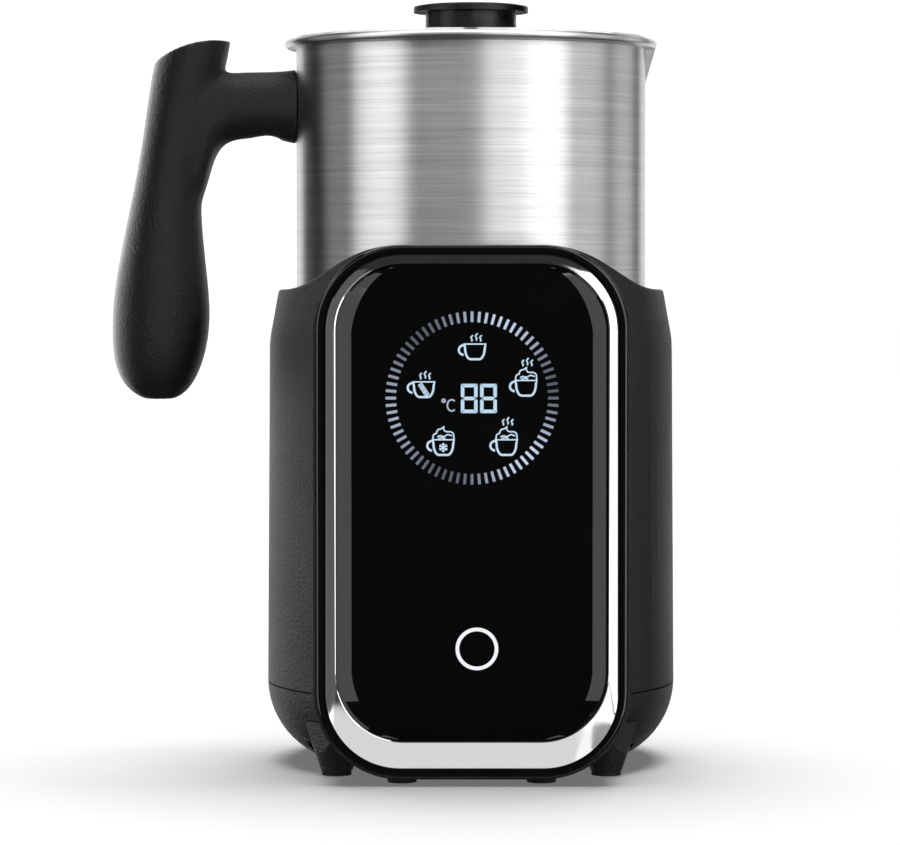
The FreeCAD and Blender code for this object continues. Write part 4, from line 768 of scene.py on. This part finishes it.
def make_lights():
    """Panels for the metal and the gloss to mirror, and a soft sky that lights the rest."""
    grip, bezel, glass = (bpy.data.objects[name]
                          for name in ("grip_handle", "bezel", "glass"))
    steel = lit_pieces("steel_shell", [nodes["jug_shell"]])
    matte = lit_pieces("matte_shell", [nodes["upper_housing"], nodes["lower_cover"]])
    only_grip = lit_pieces("only_grip", [grip])
    only_bezel = lit_pieces("only_bezel", [bezel])
    only_glass = lit_pieces("only_glass", [glass])
    not_grip = lit_pieces("not_grip", [grip], "EXCLUDE")
    neither = lit_pieces("not_grip_or_bezel", [grip, bezel], "EXCLUDE")
    for name, azimuth, elevation, width, height, brightness, lit in (
            ("left_front", -62, 8, 38, 60, 1.15, neither),
            ("left_side", -104, 8, 28, 60, 0.25, neither),
            ("left_strip", -30, 8, 14, 60, 1.1, only_glass),
            ("right_front", 50, 8, 30, 60, 1.7, not_grip),
            ("right_inner", 22, 8, 26, 60, 1.1, not_grip),
            ("right_side", 84, 8, 26, 60, 0.75, steel),
            ("right_rear", 118, 8, 26, 60, 0.65, steel),
            ("right_dim", 100, 8, 60, 60, 0.25, matte),
            ("rear_rim_right", 158, 6, 26, 60, 0.95, None),
            ("rear_rim_left", -158, 6, 30, 60, 1.0, None),
            ("left_wash", -114, 14, 60, 60, 1.05, matte),
            ("grip_edge", -128, 8, 50, 60, 3.2, only_grip),
            ("grip_middle", 6, 8, 50, 60, 1.1, only_grip),
            ("grip_right", 92, 8, 26, 60, 1.4, only_grip),
            ("bezel_left", -46, 0, 34, 80, 0.08, only_bezel),
            ("bezel_edge_left", -88, 0, 30, 80, 0.5, only_bezel),
            ("bezel_edge_right", 88, 0, 30, 80, 0.4, only_bezel),
            ("front_fill", -8, 15, 44, 13, 0.8, None),
            ("front_high", 0, 58, 120, 48, 1.6, steel),
            ("ceiling", 0, 90, 56, 56, 1.5, None),
            ("chin_left", -46, -30, 30, 20, 1.3, only_bezel),
            ("chin_middle", -8, -30, 46, 20, 0.74, only_bezel),
            ("chin_right", 34, -30, 38, 20, 0.31, only_bezel)):
        panel = soft_box(name, azimuth, elevation, width, height, brightness)
        panel.light_linking.receiver_collection = lit
    sky = bpy.data.lights.new("sky", "SUN")
    sky.energy = 2.95
    sky.angle = math.radians(42)
    thing = linked("sky", sky)
    thing.rotation_euler = (math.radians(-10), 0, 0)
    thing.visible_glossy = False


def stage_mesh(name, bm, made):
    """Scenery: drawn with the part, but no piece of it."""
    mesh = mesh_of(name, bm)
    mesh.materials.append(made)
    thing = linked(name, mesh)
    return thing


def make_stage():
    """White paper underfoot, a white backdrop all round, and a dim world."""
    reach = 9.0
    bm = bmesh.new()
    bmesh.ops.create_circle(bm, cap_ends=True, segments=64, radius=reach)
    paper = material("paper_floor", (0.9, 0.9, 0.91), 0.7, Specular_IOR_Level=0.0,
                     Emission_Color=(1, 1, 1, 1), Emission_Strength=0.15)
    floor = stage_mesh("floor", bm, paper)
    floor.visible_glossy = False
    bm = bmesh.new()
    bmesh.ops.create_uvsphere(bm, u_segments=48, v_segments=24, radius=reach)
    white = material("backdrop", (0, 0, 0), 1.0, Emission_Color=(1, 1, 1, 1),
                     Emission_Strength=1.1)
    dome = stage_mesh("backdrop", bm, white)
    dome.visible_glossy = False
    dome.visible_diffuse = False
    dome.visible_shadow = False
    world = bpy.data.worlds.new("studio")
    world.use_nodes = True
    background = world.node_tree.nodes["Background"]
    background.inputs["Color"].default_value = (1, 1, 1, 1)
    background.inputs["Strength"].default_value = 0.03
    bpy.context.scene.world = world
    bpy.context.scene.view_settings.view_transform = "Standard"


def make_camera():
    """Level with the base's shoulder, a little left of the axis, tipped slightly down,
    with a long lens."""
    aside, away, up, tip_down = -6.24 * MM, -1095 * MM, 145.3 * MM, 2.314
    data = bpy.data.cameras.new("camera")
    data.lens, data.sensor_width = 146.0, 36.0
    camera = linked("camera", data)
    camera.location = (aside, away, up)
    camera.rotation_euler = (math.radians(90 - tip_down), 0, 0)
    bpy.context.scene.camera = camera


make_camera()
make_stage()
dress_nodes()
make_handle()
make_bezel()
make_glass()
make_lights()
make_whisk_coil()
make_ticks()
make_icons()
make_digits()
make_key_marks()
